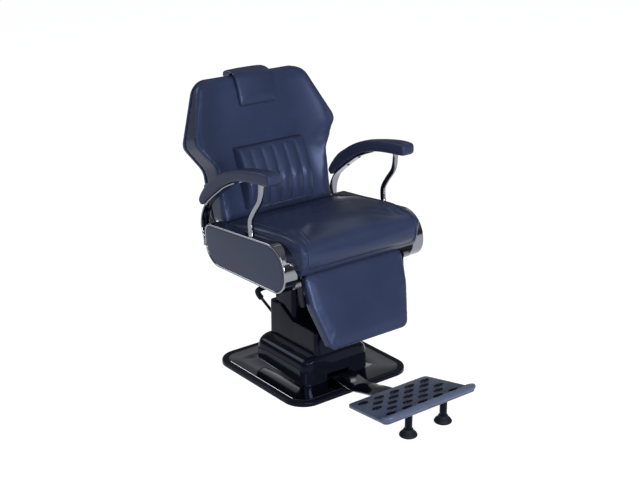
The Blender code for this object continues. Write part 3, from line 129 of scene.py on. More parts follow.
# %% PU leather
leather, tree, shader, coords = finish("PU leather, navy black", "leather",
                                       {"IOR": 1.40, "Specular IOR Level": 0.50,
                                        "Specular Tint": linear("#9CACDC")})
grain = put(tree, 'ShaderNodeTexVoronoi', {"Scale": 330.0, "Randomness": 0.9},
            {"Vector": (coords, "Object")}, feature='DISTANCE_TO_EDGE')
wear = put(tree, 'ShaderNodeTexNoise', {"Scale": 7.0, "Detail": 3.0}, {"Vector": (coords, "Object")})
tint = put(tree, 'ShaderNodeValToRGB', links={"Fac": (wear, "Fac")})
tint.color_ramp.elements[0].position, tint.color_ramp.elements[1].position = 0.3, 0.7
tint.color_ramp.elements[0].color = linear("#262D44")
tint.color_ramp.elements[1].color = linear("#2A334C")
tree.links.new(tint.outputs["Color"], shader.inputs["Base Color"])
vary(tree, wear, "Fac", 0.27, 0.35, shader, "Roughness")
bump(tree, grain, "Distance", 0.0004, shader, 0.25)
print(leather.name, "grain 3 mm")

# %% [markdown]
# ## Bright metal
#
# Decorative chrome plate on steel is a mirror: metallic, with a slightly cool colour and very
# little roughness. Fingers and polish leave it a little uneven, which a low noise shows. The
# hidden pins and the link are zinc-plated and brushed, so they are duller.

# %% Chrome and zinc-plated steel
chrome, tree, shader, coords = finish("Chrome-plated steel", "chrome",
                                      {"Base Color": linear("#84878E"), "Metallic": 1.0})
smear = put(tree, 'ShaderNodeTexNoise', {"Scale": 22.0, "Detail": 2.0}, {"Vector": (coords, "Object")})
vary(tree, smear, "Fac", 0.05, 0.11, shader, "Roughness")

zinc, tree, shader, coords = finish("Zinc-plated steel", "steel",
                                    {"Base Color": linear("#8E9094"), "Metallic": 1.0})
stretch = put(tree, 'ShaderNodeMapping', {"Scale": (400.0, 30.0, 400.0)}, {"Vector": (coords, "Object")})
brush = put(tree, 'ShaderNodeTexNoise', {"Scale": 1.0, "Detail": 2.0}, {"Vector": (stretch, "Vector")})
vary(tree, brush, "Fac", 0.28, 0.48, shader, "Roughness")
print(chrome.name, "and", zinc.name)

# %% [markdown]
# ## Plastics, paint and rubber
#
# The column covers are moulded ABS with a high gloss, which is nearly black and shows thin bright
# lines on its rounded edges. The arm pads are PU integral-skin foam, satin. The rim, the frame and
# the legs are powder-coated steel with a faint orange peel; the tread is painted cast aluminium
# with the grain of the sand mould. Feet and lever grip are matt rubber.

# %% Dark finishes


def dark(name, slot, colour, rough, level, scale, height, detail=2.0):
    """Non-metal with an uneven surface: scale in cells per metre, height in metres."""
    m, tree, shader, coords = finish(name, slot, {"Base Color": linear(colour), "Specular IOR Level": level,
                                                  "Specular Tint": linear("#98A4DA")})
    peel = put(tree, 'ShaderNodeTexNoise', {"Scale": scale, "Detail": detail}, {"Vector": (coords, "Object")})
    vary(tree, peel, "Fac", rough * 0.85, rough * 1.15, shader, "Roughness")
    bump(tree, peel, "Fac", height, shader, 0.3)
    return m


abs_gloss = dark("Moulded ABS, gloss black", "gloss_cover", "#0F111B", 0.11, 0.15, 60.0, 0.00012)
soft_skin = dark("PU integral-skin foam", "arm_plastic", "#2A3048", 0.40, 0.26, 420.0, 0.0002)
paint = dark("Powder-coated steel", "black_paint", "#0C0E17", 0.26, 0.13, 260.0, 0.00015)
# The tread's blue-grey is partly the paint's own colour and partly a painted reflection of the sky on its
# top.
cast = dark("Painted cast aluminium", "cast_black", "#465065", 0.28, 0.60, 330.0, 0.0003, 4.0)
rubber = dark("Moulded rubber", "rubber", "#151517", 0.62, 0.35, 300.0, 0.0003)
print("five dark finishes")

# %% [markdown]
# ## Wood
#
# Seat board and pod cores are beech plywood, stained dark so that no pale line shows beside the
# upholstery. The plies are about two millimetres thick. They are drawn as slanting bands of four to
# five millimetres so that they can be seen, with a wave texture that is a little distorted.

# %% Stained plywood
plywood, tree, shader, coords = finish("Beech plywood, stained", "wood", {"Roughness": 0.6})
plies = put(tree, 'ShaderNodeTexWave', {"Scale": 80.0, "Distortion": 1.5, "Detail": 2.0},
            {"Vector": (coords, "Object")}, bands_direction='DIAGONAL')
stain = put(tree, 'ShaderNodeValToRGB', links={"Fac": (plies, "Fac")})
stain.color_ramp.elements[0].color = linear("#17171B")
stain.color_ramp.elements[1].color = linear("#211F22")
tree.links.new(stain.outputs["Color"], shader.inputs["Base Color"])
print(plywood.name)

# %% [markdown]
# ## From outlines to skins
#
# Almost every piece here is a loft: a closed section is repeated along a path or shrunk towards the
# middle, and the rings are joined by a skin of quads. Metal tubes are made by bending a section
# along a path, moulded covers by stacking outlines, cushions by drawing an outline inwards.

# %% Helpers for outlines and skins


def rounded(points, radii, steps=10):
    """Closed polygon with arcs at its corners."""
    out = []
    n = len(points)
    for i, r in zip(range(n), radii):
        p = np.array(points[i], float)
        a = np.array(points[i - 1], float) - p
        b = np.array(points[(i + 1) % n], float) - p
        a, b = a / np.linalg.norm(a), b / np.linalg.norm(b)
        half = math.acos(float(a @ b)) / 2
        centre = p + (a + b) / np.linalg.norm(a + b) * r / math.sin(half)
        start, end = p + a * r / math.tan(half) - centre, p + b * r / math.tan(half) - centre
        t0, t1 = math.atan2(start[1], start[0]), math.atan2(end[1], end[0])
        t1 -= 2 * math.pi * round((t1 - t0) / (2 * math.pi))
        for t in np.linspace(t0, t1, steps + 1):
            out.append(centre + r * np.array([math.cos(t), math.sin(t)]))
    return np.array(out)


def box_outline(hx, hy, r, cy=0.0, steps=10):
    return rounded([(-hx, cy - hy), (hx, cy - hy), (hx, cy + hy), (-hx, cy + hy)], [r] * 4, steps)


def even(poly, n):
    """Closed polygon as n evenly spaced points."""
    p = np.vstack([poly, poly[:1]])
    s = np.concatenate([[0.0], np.cumsum(np.linalg.norm(np.diff(p, axis=0), axis=1))])
    at = np.linspace(0.0, s[-1], n, endpoint=False)
    return np.stack([np.interp(at, s, p[:, k]) for k in range(p.shape[1])], 1)


def inset(poly, d):
    """Closed polygon with every point moved inwards."""
    p = np.asarray(poly, float)
    t = np.roll(p, -1, axis=0) - np.roll(p, 1, axis=0)
    t /= np.linalg.norm(t, axis=1)[:, None]
    nxt = np.roll(p, -1, axis=0)
    turn = np.sign(np.sum(p[:, 0] * nxt[:, 1] - nxt[:, 0] * p[:, 1]))
    return p + np.stack([-t[:, 1], t[:, 0]], 1) * turn * d


def curve(points, steps=8):
    """Catmull-Rom curve through the points."""
    p = np.array(points, float)
    p = np.vstack([2 * p[0] - p[1], p, 2 * p[-1] - p[-2]])
    t = np.linspace(0.0, 1.0, steps, endpoint=False)[:, None]
    out = []
    for a, b, c, d in zip(p, p[1:], p[2:], p[3:]):
        out.append(0.5 * (2 * b + (c - a) * t + (2 * a - 5 * b + 4 * c - d) * t ** 2
                          + (3 * b - a - 3 * c + d) * t ** 3))
    return np.vstack(out + [p[-2:-1]])


def quarter(r, steps=5):
    """Rounded edge as (inwards, below the top) pairs, from the side to the top."""
    a = np.linspace(0.0, math.pi / 2, steps + 1)
    return list(zip(r * (1 - np.cos(a)), r * (1 - np.sin(a))))


def skin(rings, around=False, ends=True):
    """Quads between rings of equal length; around joins the last ring to the first."""
    rings = [np.asarray(r, float) for r in rings]
    n, count = len(rings[0]), len(rings)
    faces = []
    for i in range(count if around else count - 1):
        a, b = i * n, (i + 1) % count * n
        faces += [(a + k, a + (k + 1) % n, b + (k + 1) % n, b + k) for k in range(n)]
    if ends and not around:
        faces += [tuple(range(n)), tuple(range((count - 1) * n, count * n))]
    return np.vstack(rings), faces


def joined(*parts):
    """Several skins as one."""
    verts, faces = [], []
    for v, f in parts:
        start = sum(len(x) for x in verts)
        verts.append(np.asarray(v, float))
        faces += [tuple(start + k for k in face) for face in f]
    return np.vstack(verts), faces


def tube(path, section):
    """Rings of a section (two columns) carried along a path in space without twist."""
    p = np.asarray(path, float)
    t = np.gradient(p, axis=0)
    t /= np.linalg.norm(t, axis=1)[:, None]
    side = np.cross(t[0], (0.0, 0.0, 1.0) if abs(t[0][2]) < 0.9 else (0.0, 1.0, 0.0))
    rings = []
    for k, (q, d) in enumerate(zip(p, t)):
        side = side - d * (side @ d)
        side /= np.linalg.norm(side)
        s = section[k] if isinstance(section, list) else section
        rings.append(q + s[:, :1] * side + s[:, 1:] * np.cross(d, side))
    return rings


def disc(r, n=32):
    a = np.linspace(0.0, 2 * math.pi, n, endpoint=False)
    return np.stack([r * np.cos(a), r * np.sin(a)], 1)


def flat(poly, z):
    """Outline in X and Y at a height."""
    return np.column_stack([poly, np.full(len(poly), z)])


def upright(poly, x):
    """Outline in Y and Z at a place across the chair."""
    return np.column_stack([np.full(len(poly), x), poly])


def new_mesh(name, verts, faces, material):
    """Object of one mesh, with its faces turned outwards."""
    mesh = bpy.data.meshes.new(name)
    mesh.from_pydata([tuple(map(float, v)) for v in verts], [], faces)
    bm = bmesh.new()
    bm.from_mesh(mesh)
    bmesh.ops.remove_doubles(bm, verts=bm.verts, dist=1e-6)
    bmesh.ops.recalc_face_normals(bm, faces=bm.faces)
    bm.to_mesh(mesh)
    bm.free()
    mesh.materials.append(material)
    obj = bpy.data.objects.new(name, mesh)
    scene.collection.objects.link(obj)
    return obj


def settle(obj, body, *stands_for, sharp=40.0):
    """Shades a piece, lets it ride a body and stand for CAD nodes."""
    obj.data.shade_smooth()
    obj.data.set_sharp_from_angle(angle=math.radians(sharp))
    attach(obj, body)
    if stands_for:
        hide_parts(*stands_for)
    return obj


SIDES = (("left", 1), ("right", -1))
print("outline helpers ready")

# %% [markdown]
# ## Padding
#
# Upholstery is a tailored skin pressed outwards by foam. A cloth simulation gives that form: the skin
# is a mesh of even cells, air pressure pushes it out, and it is held where it is glued or stapled.
# The movement eases off at a cap, because real foam stops. Afterwards the mesh is relaxed and refined
# once, and creases are pressed in along lines.

# %% Helpers for padding


def evaluated(obj):
    return bpy.data.meshes.new_from_object(obj.evaluated_get(bpy.context.evaluated_depsgraph_get()))


def points_of(mesh):
    co = np.empty(len(mesh.vertices) * 3)
    mesh.vertices.foreach_get("co", co)
    return co.reshape(-1, 3)


def with_modifier(obj, kind, **settings):
    """Applies one modifier to a piece."""
    mod = obj.modifiers.new(kind.lower(), kind)
    for key, value in settings.items():
        setattr(mod, key, value)
    obj.data = evaluated(obj)
    obj.modifiers.clear()


def relax(obj, times):
    """Moves every point towards the mean of its neighbours."""
    bm = bmesh.new()
    bm.from_mesh(obj.data)
    for _ in range(times):
        bmesh.ops.smooth_vert(bm, verts=bm.verts, factor=0.5,
                              use_axis_x=True, use_axis_y=True, use_axis_z=True)
    bm.to_mesh(obj.data)
    bm.free()


def inflate(obj, voxel, cap, held, pressure=4.0, soften=3):
    """Even cells, then a pressed cloth held where held(points) is 1; movement eases off at the cap."""
    with_modifier(obj, 'REMESH', mode='VOXEL', voxel_size=voxel)
    rest = points_of(obj.data)
    group = obj.vertex_groups.new(name="held")
    for k, weight in enumerate(held(rest)):
        group.add([k], float(weight), 'REPLACE')
    cloth = obj.modifiers.new("cloth", 'CLOTH')
    cloth.settings.vertex_group_mass = "held"
    cloth.settings.use_pressure = True
    cloth.settings.uniform_pressure_force = pressure
    cloth.settings.effector_weights.gravity = 0.0
    for number in range(1, 21):
        scene.frame_set(number)
    moved = points_of(evaluated(obj))
    obj.modifiers.clear()
    obj.vertex_groups.clear()
    scene.frame_set(1)
    step = moved - rest
    length = np.linalg.norm(step, axis=1)
    step *= (cap * np.tanh(length / cap) / np.maximum(length, 1e-9))[:, None]
    obj.data.vertices.foreach_set("co", (rest + step).ravel())
    print(obj.name, "swelled by up to", round(1000 * float(length.max()), 1), "mm, capped at", 1000 * cap)
    relax(obj, soften)
    with_modifier(obj, 'SUBSURF', levels=1)


def crease(obj, lines):
    """Presses soft grooves into a piece; each line is (points, width, depth)."""
    co = points_of(obj.data)
    normals = np.empty(len(co) * 3)
    obj.data.vertices.foreach_get("normal", normals)
    normals = normals.reshape(-1, 3)
    shift = np.zeros(len(co))
    for points, width, depth in lines:
        points = curve(points, 6)
        nearest = np.full(len(co), 1e9)
        for a, b in zip(points, points[1:]):
            t = np.clip((co - a) @ (b - a) / max(1e-12, (b - a) @ (b - a)), 0.0, 1.0)
            nearest = np.minimum(nearest, np.linalg.norm(co - a - t[:, None] * (b - a), axis=1))
        shift = shift + depth * np.exp(-(nearest / width) ** 2)
    obj.data.vertices.foreach_set("co", (co - normals * shift[:, None]).ravel())


def on_surface(obj, points, lift):
    """Points dropped onto the nearest place of a piece, lifted off it."""
    bm = bmesh.new()
    bm.from_mesh(obj.data)
    hull = BVHTree.FromBMesh(bm)
    out = []
    for p in points:
        place, normal, *_ = hull.find_nearest(Vector(p))
        out.append(np.array(place + normal * lift))
    bm.free()
    return np.array(out)


def piping(name, obj, line, radius, body):
    """Welt cord sewn onto a piece along a line."""
    path = on_surface(obj, line, radius * 0.35)
    for _ in range(3):
        path[1:-1] = 0.25 * path[:-2] + 0.5 * path[1:-1] + 0.25 * path[2:]
    cord = new_mesh(name, *skin(tube(path, disc(radius, 10))), obj.data.materials[0])
    return settle(cord, body)


print("padding helpers ready")

# %% [markdown]
# ## Backrest
#
# The back is a moulded foam on a plywood shell, with wings that turn forward like those of a bucket
# seat. Its outline is narrow at the waist and widest at the shoulders, and its sides stand square to the
# tilted front. The front face is drawn inwards from the outline, ring by ring. The wings grow with a little
# more than the square of the distance from the middle, which is how a bent ply shell turns.

# %% Back cushion
FRONT_SLOPE, REAR_SLOPE = 0.36, 0.25


def front_plane(z):
    return 0.2816 + FRONT_SLOPE * (z - 0.800)


def rear_plane(z):
    return 0.364 + REAR_SLOPE * (z - 0.845)


BACK_LOW, WAIST, WING, BACK_TOP = 0.547, 0.745, 0.837, 1.046
half_outline = [(0.231, BACK_TOP, 0.065), (0.317, WING, 0.036), (0.247, WAIST, 0.060),
                (0.246, BACK_LOW, 0.020)]
corners = [(-x, z) for x, z, _ in half_outline] + [(x, z) for x, z, _ in reversed(half_outline)]
radii = [r for *_, r in half_outline] + [r for *_, r in reversed(half_outline)]
back_outline = even(rounded(corners, radii, 12), 300)
half_width = curve([(x, z) for x, z, _ in reversed(half_outline)], 12)
turn_in = curve([(0.009, BACK_LOW), (0.036, WAIST), (0.044, WING), (0.0176, BACK_TOP)], 12)


def wing(x, z):
    """How far the wings reach ahead of the flat middle."""
    half = np.interp(z, half_width[:, 1], half_width[:, 0])
    t = np.clip((np.abs(x) - 0.135) / (half - 0.135), 0.0, 1.0)
    return np.interp(z, turn_in[:, 1], turn_in[:, 0]) * t ** 2.2


def lean(z):
    """Tilt of the sides: level at the lower edge, square to the front from the waist up."""
    return FRONT_SLOPE * np.clip((z - BACK_LOW) / (WAIST - BACK_LOW), 0.0, 1.0)


def in_back(outline, behind):
    """Outline moved behind the front along the tilt of the sides."""
    x, z = outline[:, 0], outline[:, 1]
    return np.column_stack([x, front_plane(z) + behind, z - lean(z) * behind])


def on_rear(outline, ahead):
    """Outline a little ahead of the rear."""
    z = outline[:, 1]
    return in_back(outline, (rear_plane(z) - ahead - front_plane(z)) / (1.0 + REAR_SLOPE * lean(z)))


def shrunk(outline, s):
    """Outline drawn towards the middle of the back."""
    return np.column_stack([outline[:, 0] * s, 0.8 + (outline[:, 1] - 0.8) * s])


rings = [on_rear(back_outline, 0.0163)]
for d, drop in quarter(0.013, 6):
    p = inset(back_outline, d)
    rings.append(in_back(p, drop - wing(*p.T)))
for s in np.linspace(0.96, 0.05, 22):
    p = shrunk(inset(back_outline, 0.013), s)
    rings.append(in_back(p, -wing(*p.T)))
back = new_mesh("back_upholstery", *skin(rings), leather)


def back_held(p):
    """0 on the front face, 1 from 30 mm behind it."""
    return np.clip((p[:, 1] - front_plane(p[:, 2]) + wing(p[:, 0], p[:, 2])) / 0.03, 0.0, 1.0)


inflate(back, 0.0065, 0.004, back_held)
settle(back, "backrest", "back_cushion")
print("back cushion with", len(back.data.polygons), "faces")

# %% [markdown]
# The rear of the back is a second, thinner upholstered panel. The two meet in a seam with a welt, a cord
# wrapped in the same leather, which runs all the way round and hides the staples.

# %% Back shell and its welt
edge = [(0.003, 0.016), (0.0, 0.013)] + quarter(0.007, 5)
rings = [on_rear(inset(back_outline, d), ahead) for d, ahead in edge]
rings += [on_rear(shrunk(inset(back_outline, 0.007), s), 0.0) for s in (0.9, 0.7, 0.45, 0.2)]
shell = settle(new_mesh("back_panel", *skin(rings), leather), "backrest", "back_shell")
welt = on_rear(even(inset(back_outline, 0.0005), 300), 0.0158)
welt_rings = tube(np.vstack([welt, welt[:2]]), disc(0.0032, 8))[1:-1]
settle(new_mesh("back_welt", *skin(welt_rings, around=True), leather), "backrest")
print("panel and welt,", len(welt), "steps around")

# %% [markdown]
# ## Lumbar cushion
#
# A separate roll with six vertical channels sits on the lower back. In the workshop the leather is sewn
# to a backing along the seams and filled between them, so each channel is a small tube. The seams are
# held in the simulation and the skin between them swells.

# %% Lumbar cushion with channels
LUMBAR_HX, LUMBAR_LOW, CHANNELS = 0.149, 0.588, 6
swell = [(0.0025, 0.0202), (0.012, 0.0336), (0.037, 0.0451), (0.072, 0.0557), (0.107, 0.0623),
         (0.147, 0.0597), (0.177, 0.0545), (0.202, 0.0470), (0.216, 0.0380), (0.2195, 0.0223)]
profile = curve(swell, 6)
rear = [(0.215, 0.0006), (0.142, 0.0006), (0.072, 0.0006), (0.0045, 0.0006)]
rings = []
for u in np.linspace(-1.0, 1.0, CHANNELS * 16 + 1):
    puff = abs(math.sin(math.pi * (u + 1.0) / 2.0 * CHANNELS)) ** 0.55
    end = math.sqrt(max(0.0, 1.0 - max(0.0, (abs(u) - 0.93) / 0.07) ** 2)) * 0.55 + 0.45
    ring = []
    for h, ahead in profile:
        depth = 0.011 * (1.0 - puff) * min(1.0, max(0.0, min(h - 0.0025, 0.2195 - h) / 0.014))
        z = LUMBAR_LOW + h
        ring.append((u * LUMBAR_HX, front_plane(z) - max(0.004, ahead * end - depth), z))
    for h, ahead in rear:
        z = LUMBAR_LOW + h
        ring.append((u * LUMBAR_HX, front_plane(z) - ahead, z))
    rings.append(np.array(ring))
lumbar = new_mesh("lumbar_upholstery", *skin(rings), leather)


def lumbar_held(p):
    phase = np.abs(((p[:, 0] / LUMBAR_HX + 1.0) / 2.0 * CHANNELS + 0.5) % 1.0 - 0.5)
    return ((phase < 0.09) | (p[:, 1] > front_plane(p[:, 2]) - 0.012)).astype(float)


inflate(lumbar, 0.0042, 0.004, lumbar_held, soften=1)
settle(lumbar, "backrest", "lumbar_cushion")
print("lumbar cushion,", CHANNELS, "channels of", round(2000 * LUMBAR_HX / CHANNELS), "mm")

# %% [markdown]
# ## Headrest
#
# A small pad hooks over the top edge of the back on a flat bar and slides up. Its profile is drawn in the
# tilted back: a height above the top edge and a distance ahead of the front. It has crisp sewn edges at
# both sides, so its profile keeps its size nearly to the ends and only the last millimetres are rounded.

# %% Headrest pad
HEAD_HX = 0.080
head = np.array([(-0.120, 0.0090), (-0.110, 0.0160), (-0.066, 0.0200), (-0.028, 0.0200), (-0.010, 0.0175),
                 (0.004, 0.0085), (0.013, -0.0060), (0.020, -0.0250), (0.0245, -0.0450), (0.023, -0.0590),
                 (0.015, -0.0675), (0.0065, -0.0690), (0.0025, -0.0630), (0.0025, -0.0289),
                 (0.0025, -0.0034), (-0.016, 0.0015), (-0.051, 0.0015), (-0.086, 0.0015), (-0.115, 0.0015)])
head = even(np.vstack([curve(head[:12], 6), head[12:]]), 120)
up = np.array([FRONT_SLOPE, 1.0]) / math.hypot(FRONT_SLOPE, 1.0)
ahead_of = np.array([-up[1], up[0]])
top_edge = np.array([front_plane(BACK_TOP), BACK_TOP])
rings = []
ends = [(HEAD_HX - 0.0035 * math.sin(a), 0.0032 * (1 - math.cos(a))) for a in np.linspace(0, math.pi / 2, 5)]
half = [(x, 0.0) for x in (0.0, 0.02, 0.04, 0.055, 0.068)] + sorted((x, 0.0032 - d) for x, d in ends)
for x, d in [(-x, d) for x, d in reversed(half[1:])] + half:
    crown = 1.0 - (abs(x) / HEAD_HX) ** 2.5
    h, ahead = inset(head, d).T
    top = np.clip((h - 0.010) / 0.010, 0.0, 1.0)
    front = np.clip((ahead - 0.003) / 0.006, 0.0, 1.0) * np.clip((h + 0.119) / 0.03, 0.0, 1.0)
    height = h + 0.002 * crown * top
    depth = ahead + 0.006 * crown * front * (1 - top)
    p = top_edge + np.outer(height, up) + np.outer(depth, ahead_of)
    rings.append(upright(p, x))
headrest = new_mesh("headrest_upholstery", *skin(rings), leather)


def head_held(p):
    h, ahead = (p[:, 1:] - top_edge) @ up, (p[:, 1:] - top_edge) @ ahead_of
    return ((ahead < 0.006) & (h < 0.012) | (np.abs(p[:, 0]) > 0.074)).astype(float)


inflate(headrest, 0.004, 0.003, head_held, soften=2)
settle(headrest, "headrest", "headrest_pad")
print("headrest pad", round(2000 * HEAD_HX), "mm wide")

# %% [markdown]
# ## Seat
#
# The seat cushion is a thick foam with a rolled front edge. Its side profile is carried across the width,
# with a crown in the middle and rounded sides that press against the pods. The leather gathers at the front
# corners, where it turns both ways, and it has faint sitting creases.

# %% Seat cushion
SEAT_Y, SEAT_Z = 0.062, 0.429
CUSHION_Z = SEAT_Z + 0.0789
side = [(0.100, 0.0), (-0.05, 0.0), (-0.232, 0.0), (-0.277, 0.0), (-0.318, 0.003), (-0.339, 0.0204),
        (-0.348, 0.0484), (-0.345, 0.0754), (-0.332, 0.0944), (-0.302, 0.1064), (-0.237, 0.1094),
        (-0.137, 0.1004), (-0.029, 0.0884), (0.050, 0.0774), (0.096, 0.0680), (0.116, 0.0590),
        (0.1235, 0.0400), (0.1215, 0.0150), (0.112, 0.001)]
side = even(np.maximum(curve(side, 5), [-1.0, 0.0]), 180)
rings = []
steps = [(0.0, 0.0), (0.2, 0.0), (0.4, 0.0), (0.6, 0.0), (0.75, 0.0), (0.86, 0.0002), (0.92, 0.0008),
         (0.955, 0.0018), (0.98, 0.0038), (0.993, 0.006), (1.0, 0.009)]
for share, d in [(-s, d) for s, d in reversed(steps[1:])] + steps:
    crown = 0.013 * (1.0 - 0.15 * share ** 4)
    p = inset(side, d)
    bulge = 0.45 * crown * np.clip((-0.262 - p[:, 0]) / 0.08, 0.0, 1.0)
    rise = crown * np.clip((p[:, 1] - 0.0474) / 0.04, 0.0, 1.0) * np.clip((0.100 - p[:, 0]) / 0.12, 0.0, 1.0)
    top = np.clip((p[:, 1] - 0.05) / 0.03, 0.0, 1.0)
    p = p + np.column_stack([SEAT_Y - bulge, CUSHION_Z + rise - 0.003 * top])
    x = share * (0.2555 + 0.010 * np.clip((p[:, 1] - CUSHION_Z - 0.062) / 0.02, 0.0, 1.0))
    rings.append(np.column_stack([x, p]))
seat = new_mesh("seat_upholstery", *skin(rings), leather)


def seat_held(p):
    """1 near the board and where the sides press against the pods."""
    near_board, at_pods = p[:, 2] < CUSHION_Z + 0.03, np.abs(p[:, 0]) > 0.247
    return (near_board | at_pods & (p[:, 2] < CUSHION_Z + 0.085)).astype(float)


inflate(seat, 0.0065, 0.006, seat_held)
print("seat cushion with", len(seat.data.polygons), "faces")

# %% [markdown]
# The leather is pulled over the front edge of the seat board and stapled under it, so a strip of it hides
# the board. Where it turns the corner beside the pods it gathers into a fan of folds that run over the roll.

# %% Creases, front wrap and welts of the seat
folds = []
over_roll = [(-0.150, 0.623, 0.0), (-0.205, 0.623, 0.2), (-0.250, 0.612, 0.5), (-0.275, 0.590, 0.8),
             (-0.284, 0.562, 1.0)]
for sign in (1, -1):
    for top_x, low_x in ((0.246, 0.250), (0.231, 0.243), (0.214, 0.234), (0.192, 0.222)):
        line = [(sign * (top_x + (low_x - top_x) * s), y, z) for y, z, s in over_roll]
        folds.append((line, 0.0040, 0.0034))
folds += [([(0.075, 0.060, 0.607), (0.115, 0.045, 0.608), (0.135, 0.035, 0.607)], 0.006, 0.0012),
          ([(0.02, -0.02, 0.617), (0.08, -0.005, 0.615), (0.15, -0.012, 0.614)], 0.007, 0.0014),
          ([(-0.10, 0.02, 0.612), (-0.06, -0.03, 0.616), (-0.02, -0.06, 0.620)], 0.008, 0.0010)]
crease(seat, folds)
settle(seat, "seat", "seat_cushion")
wrap = curve([(-0.340, 0.022), (-0.333, 0.006), (-0.324, -0.007), (-0.317, -0.0125)], 4)
wrap_inside = [(-0.3125, -0.0125), (-0.3105, -0.006), (-0.3105, 0.006), (-0.325, 0.022)]
wrap = np.vstack([wrap, wrap_inside]) + [SEAT_Y, CUSHION_Z]
wrap = [upright(wrap, x) for x in np.linspace(-0.2525, 0.2525, 9)]
settle(new_mesh("seat_front_wrap", *skin(wrap), leather), "seat")
roll = curve([(0.13, 0.590), (0.05, 0.600), (-0.08, 0.613), (-0.17, 0.622), (-0.235, 0.618), (-0.268, 0.603),
              (-0.283, 0.575), (-0.283, 0.548), (-0.27, 0.522)], 10)
for name, sign in SIDES:
    piping("seat_welt_" + name, seat, upright(roll, sign * 0.238), 0.0026, "seat")
print(len(folds), "creases, two welts")

# %% [markdown]
# ## Leg rest
#
# A flat tapered pad hangs from the front of the seat. It is pulled tight over a board, so it swells only a
# little, and its sides are rounded.

# %% Leg rest pad
TILT = math.radians(21.5)
down = np.array([-math.sin(TILT), -math.cos(TILT)])
forward = np.array([-math.cos(TILT), math.sin(TILT)])
pad_top = np.array([-0.287 - 0.013 + SEAT_Y, 0.026 + 0.035 + SEAT_Z])
PAD_L, PAD_T = 0.278, 0.044
half = [(0.218, 0.0, 0.022), (0.211, 0.45 * PAD_L, 0.15), (0.172, PAD_L, 0.030)]
corners = [(-u, s) for u, s, _ in half] + [(u, s) for u, s, _ in reversed(half)]
pad_outline = even(rounded(corners, [r for *_, r in half] + [r for *_, r in reversed(half)], 10), 200)


def on_pad(outline, behind):
    """Outline across and down the leg rest, moved back from its front."""
    p = pad_top + outline[:, 1:] * down - np.reshape(behind, (-1, 1)) * forward
    return np.column_stack([outline[:, 0], p])


rings = [on_pad(inset(pad_outline, d), PAD_T - drop) for d, drop in reversed(quarter(0.008, 4))]
rings += [on_pad(inset(pad_outline, d), drop) for d, drop in quarter(0.010, 5)]
inner = inset(pad_outline, 0.010)
for s in np.linspace(0.95, 0.05, 12):
    p = np.column_stack([inner[:, 0] * s, PAD_L / 2 + (inner[:, 1] - PAD_L / 2) * s])
    rings.append(on_pad(p, -0.003 * (1 - s ** 4)))
legrest = new_mesh("legrest_upholstery", *skin(rings), leather)


def pad_held(p):
    """0 on the front face, 1 from 12 mm behind it."""
    return np.clip((pad_top @ forward - p[:, 1:] @ forward) / 0.012, 0.0, 1.0)


inflate(legrest, 0.0055, 0.002, pad_held, pressure=2.0, soften=2)
settle(legrest, "legrest", "legrest_pad")
print("leg rest", round(1000 * PAD_L), "mm long")

# %% [markdown]
# ## Side pods
#
# Each side of the seat ends in a pod: a wooden core, a chrome-plated strip bent around its edge with a bead
# at the outer side, and an upholstered panel set inside the bead. The strip is a section carried around the
# outline, so its reflections run smoothly around the corners.

# %% Pod bands and panels
POD_IN, POD_OUT, BEAD = 0.2588, 0.311, 0.008
pod = rounded([(-0.315, 0.0022), (-0.315, 0.1783), (0.169, 0.1389), (0.169, -0.0112)],
              (0.0683, 0.0976, 0.038, 0.085), 24) + [SEAT_Y, SEAT_Z]
pod = even(pod, 360)
bead = [(0.004 - 0.004 * math.cos(a), POD_OUT - 0.004 + 0.004 * math.sin(a))
        for a in np.linspace(0, math.pi, 13)]
band = [(0.0, POD_IN), (0.0, POD_OUT - 0.010)] + bead + [(0.003, POD_OUT - 0.0045), (0.003, POD_IN)]
cover = [(BEAD + 0.0003, POD_OUT - 0.0117), (BEAD + 0.0003, POD_OUT - 0.005)]
cover += [(BEAD + 0.0003 + d, POD_OUT - 0.002 - drop) for d, drop in quarter(0.003, 4)]
for name, sign in SIDES:
    rings = [upright(inset(pod, d), sign * x) for d, x in band]
    strip = new_mesh("pod_band_" + name + "_chrome", *skin(rings, around=True), chrome)
    settle(strip, "seat", "pod_band_" + name)
    rings = [upright(inset(pod, d), sign * x) for d, x in cover]
    middle = inset(pod, BEAD + 0.0033)
    centre = middle.mean(axis=0)
    for s in (0.93, 0.8, 0.6, 0.35, 0.1):
        rings.append(upright(centre + (middle - centre) * s, sign * (POD_OUT - 0.002 + 0.0015 * (1 - s * s))))
    panel = new_mesh("pod_panel_" + name + "_upholstery", *skin(rings), leather)
    settle(panel, "seat", "pod_panel_" + name)
print("pods", round(1000 * (POD_OUT - POD_IN), 1), "mm thick")

# %% [markdown]
# ## Armrests
#
# The arm pads are foamed in a mould around a steel insert, so they are one smooth bent form: a rounded
# section carried along a curve that falls towards the back. A flat chrome bar carries the rear end and a bent
# chrome tube the front. Real bars and tubes are bent cold, which keeps their section.

# %% Arm pads, bars and posts
ARM_X, POST_X = 0.294, 0.297
over = curve([(-0.241, 0.410), (-0.228, 0.415), (-0.192, 0.4145), (-0.150, 0.409), (-0.082, 0.396),
              (-0.007, 0.377), (0.052, 0.351), (0.091, 0.327), (0.128, 0.302), (0.155, 0.274),
              (0.178, 0.243), (0.189, 0.218)], 6)
under_points = [(-0.243, 0.382), (-0.233, 0.372), (-0.205, 0.3685), (-0.167, 0.365), (-0.097, 0.356),
                (-0.027, 0.339), (0.034, 0.309), (0.073, 0.282), (0.110, 0.255), (0.140, 0.231),
                (0.162, 0.212), (0.171, 0.204)]
under = curve(under_points, 6)
turn = np.linspace(0.0, 2 * math.pi, 44, endpoint=False)
section = np.column_stack([np.sign(np.cos(turn)) * np.abs(np.cos(turn)) ** 0.42,
                           np.sign(np.sin(turn)) * np.abs(np.sin(turn)) ** 0.42])
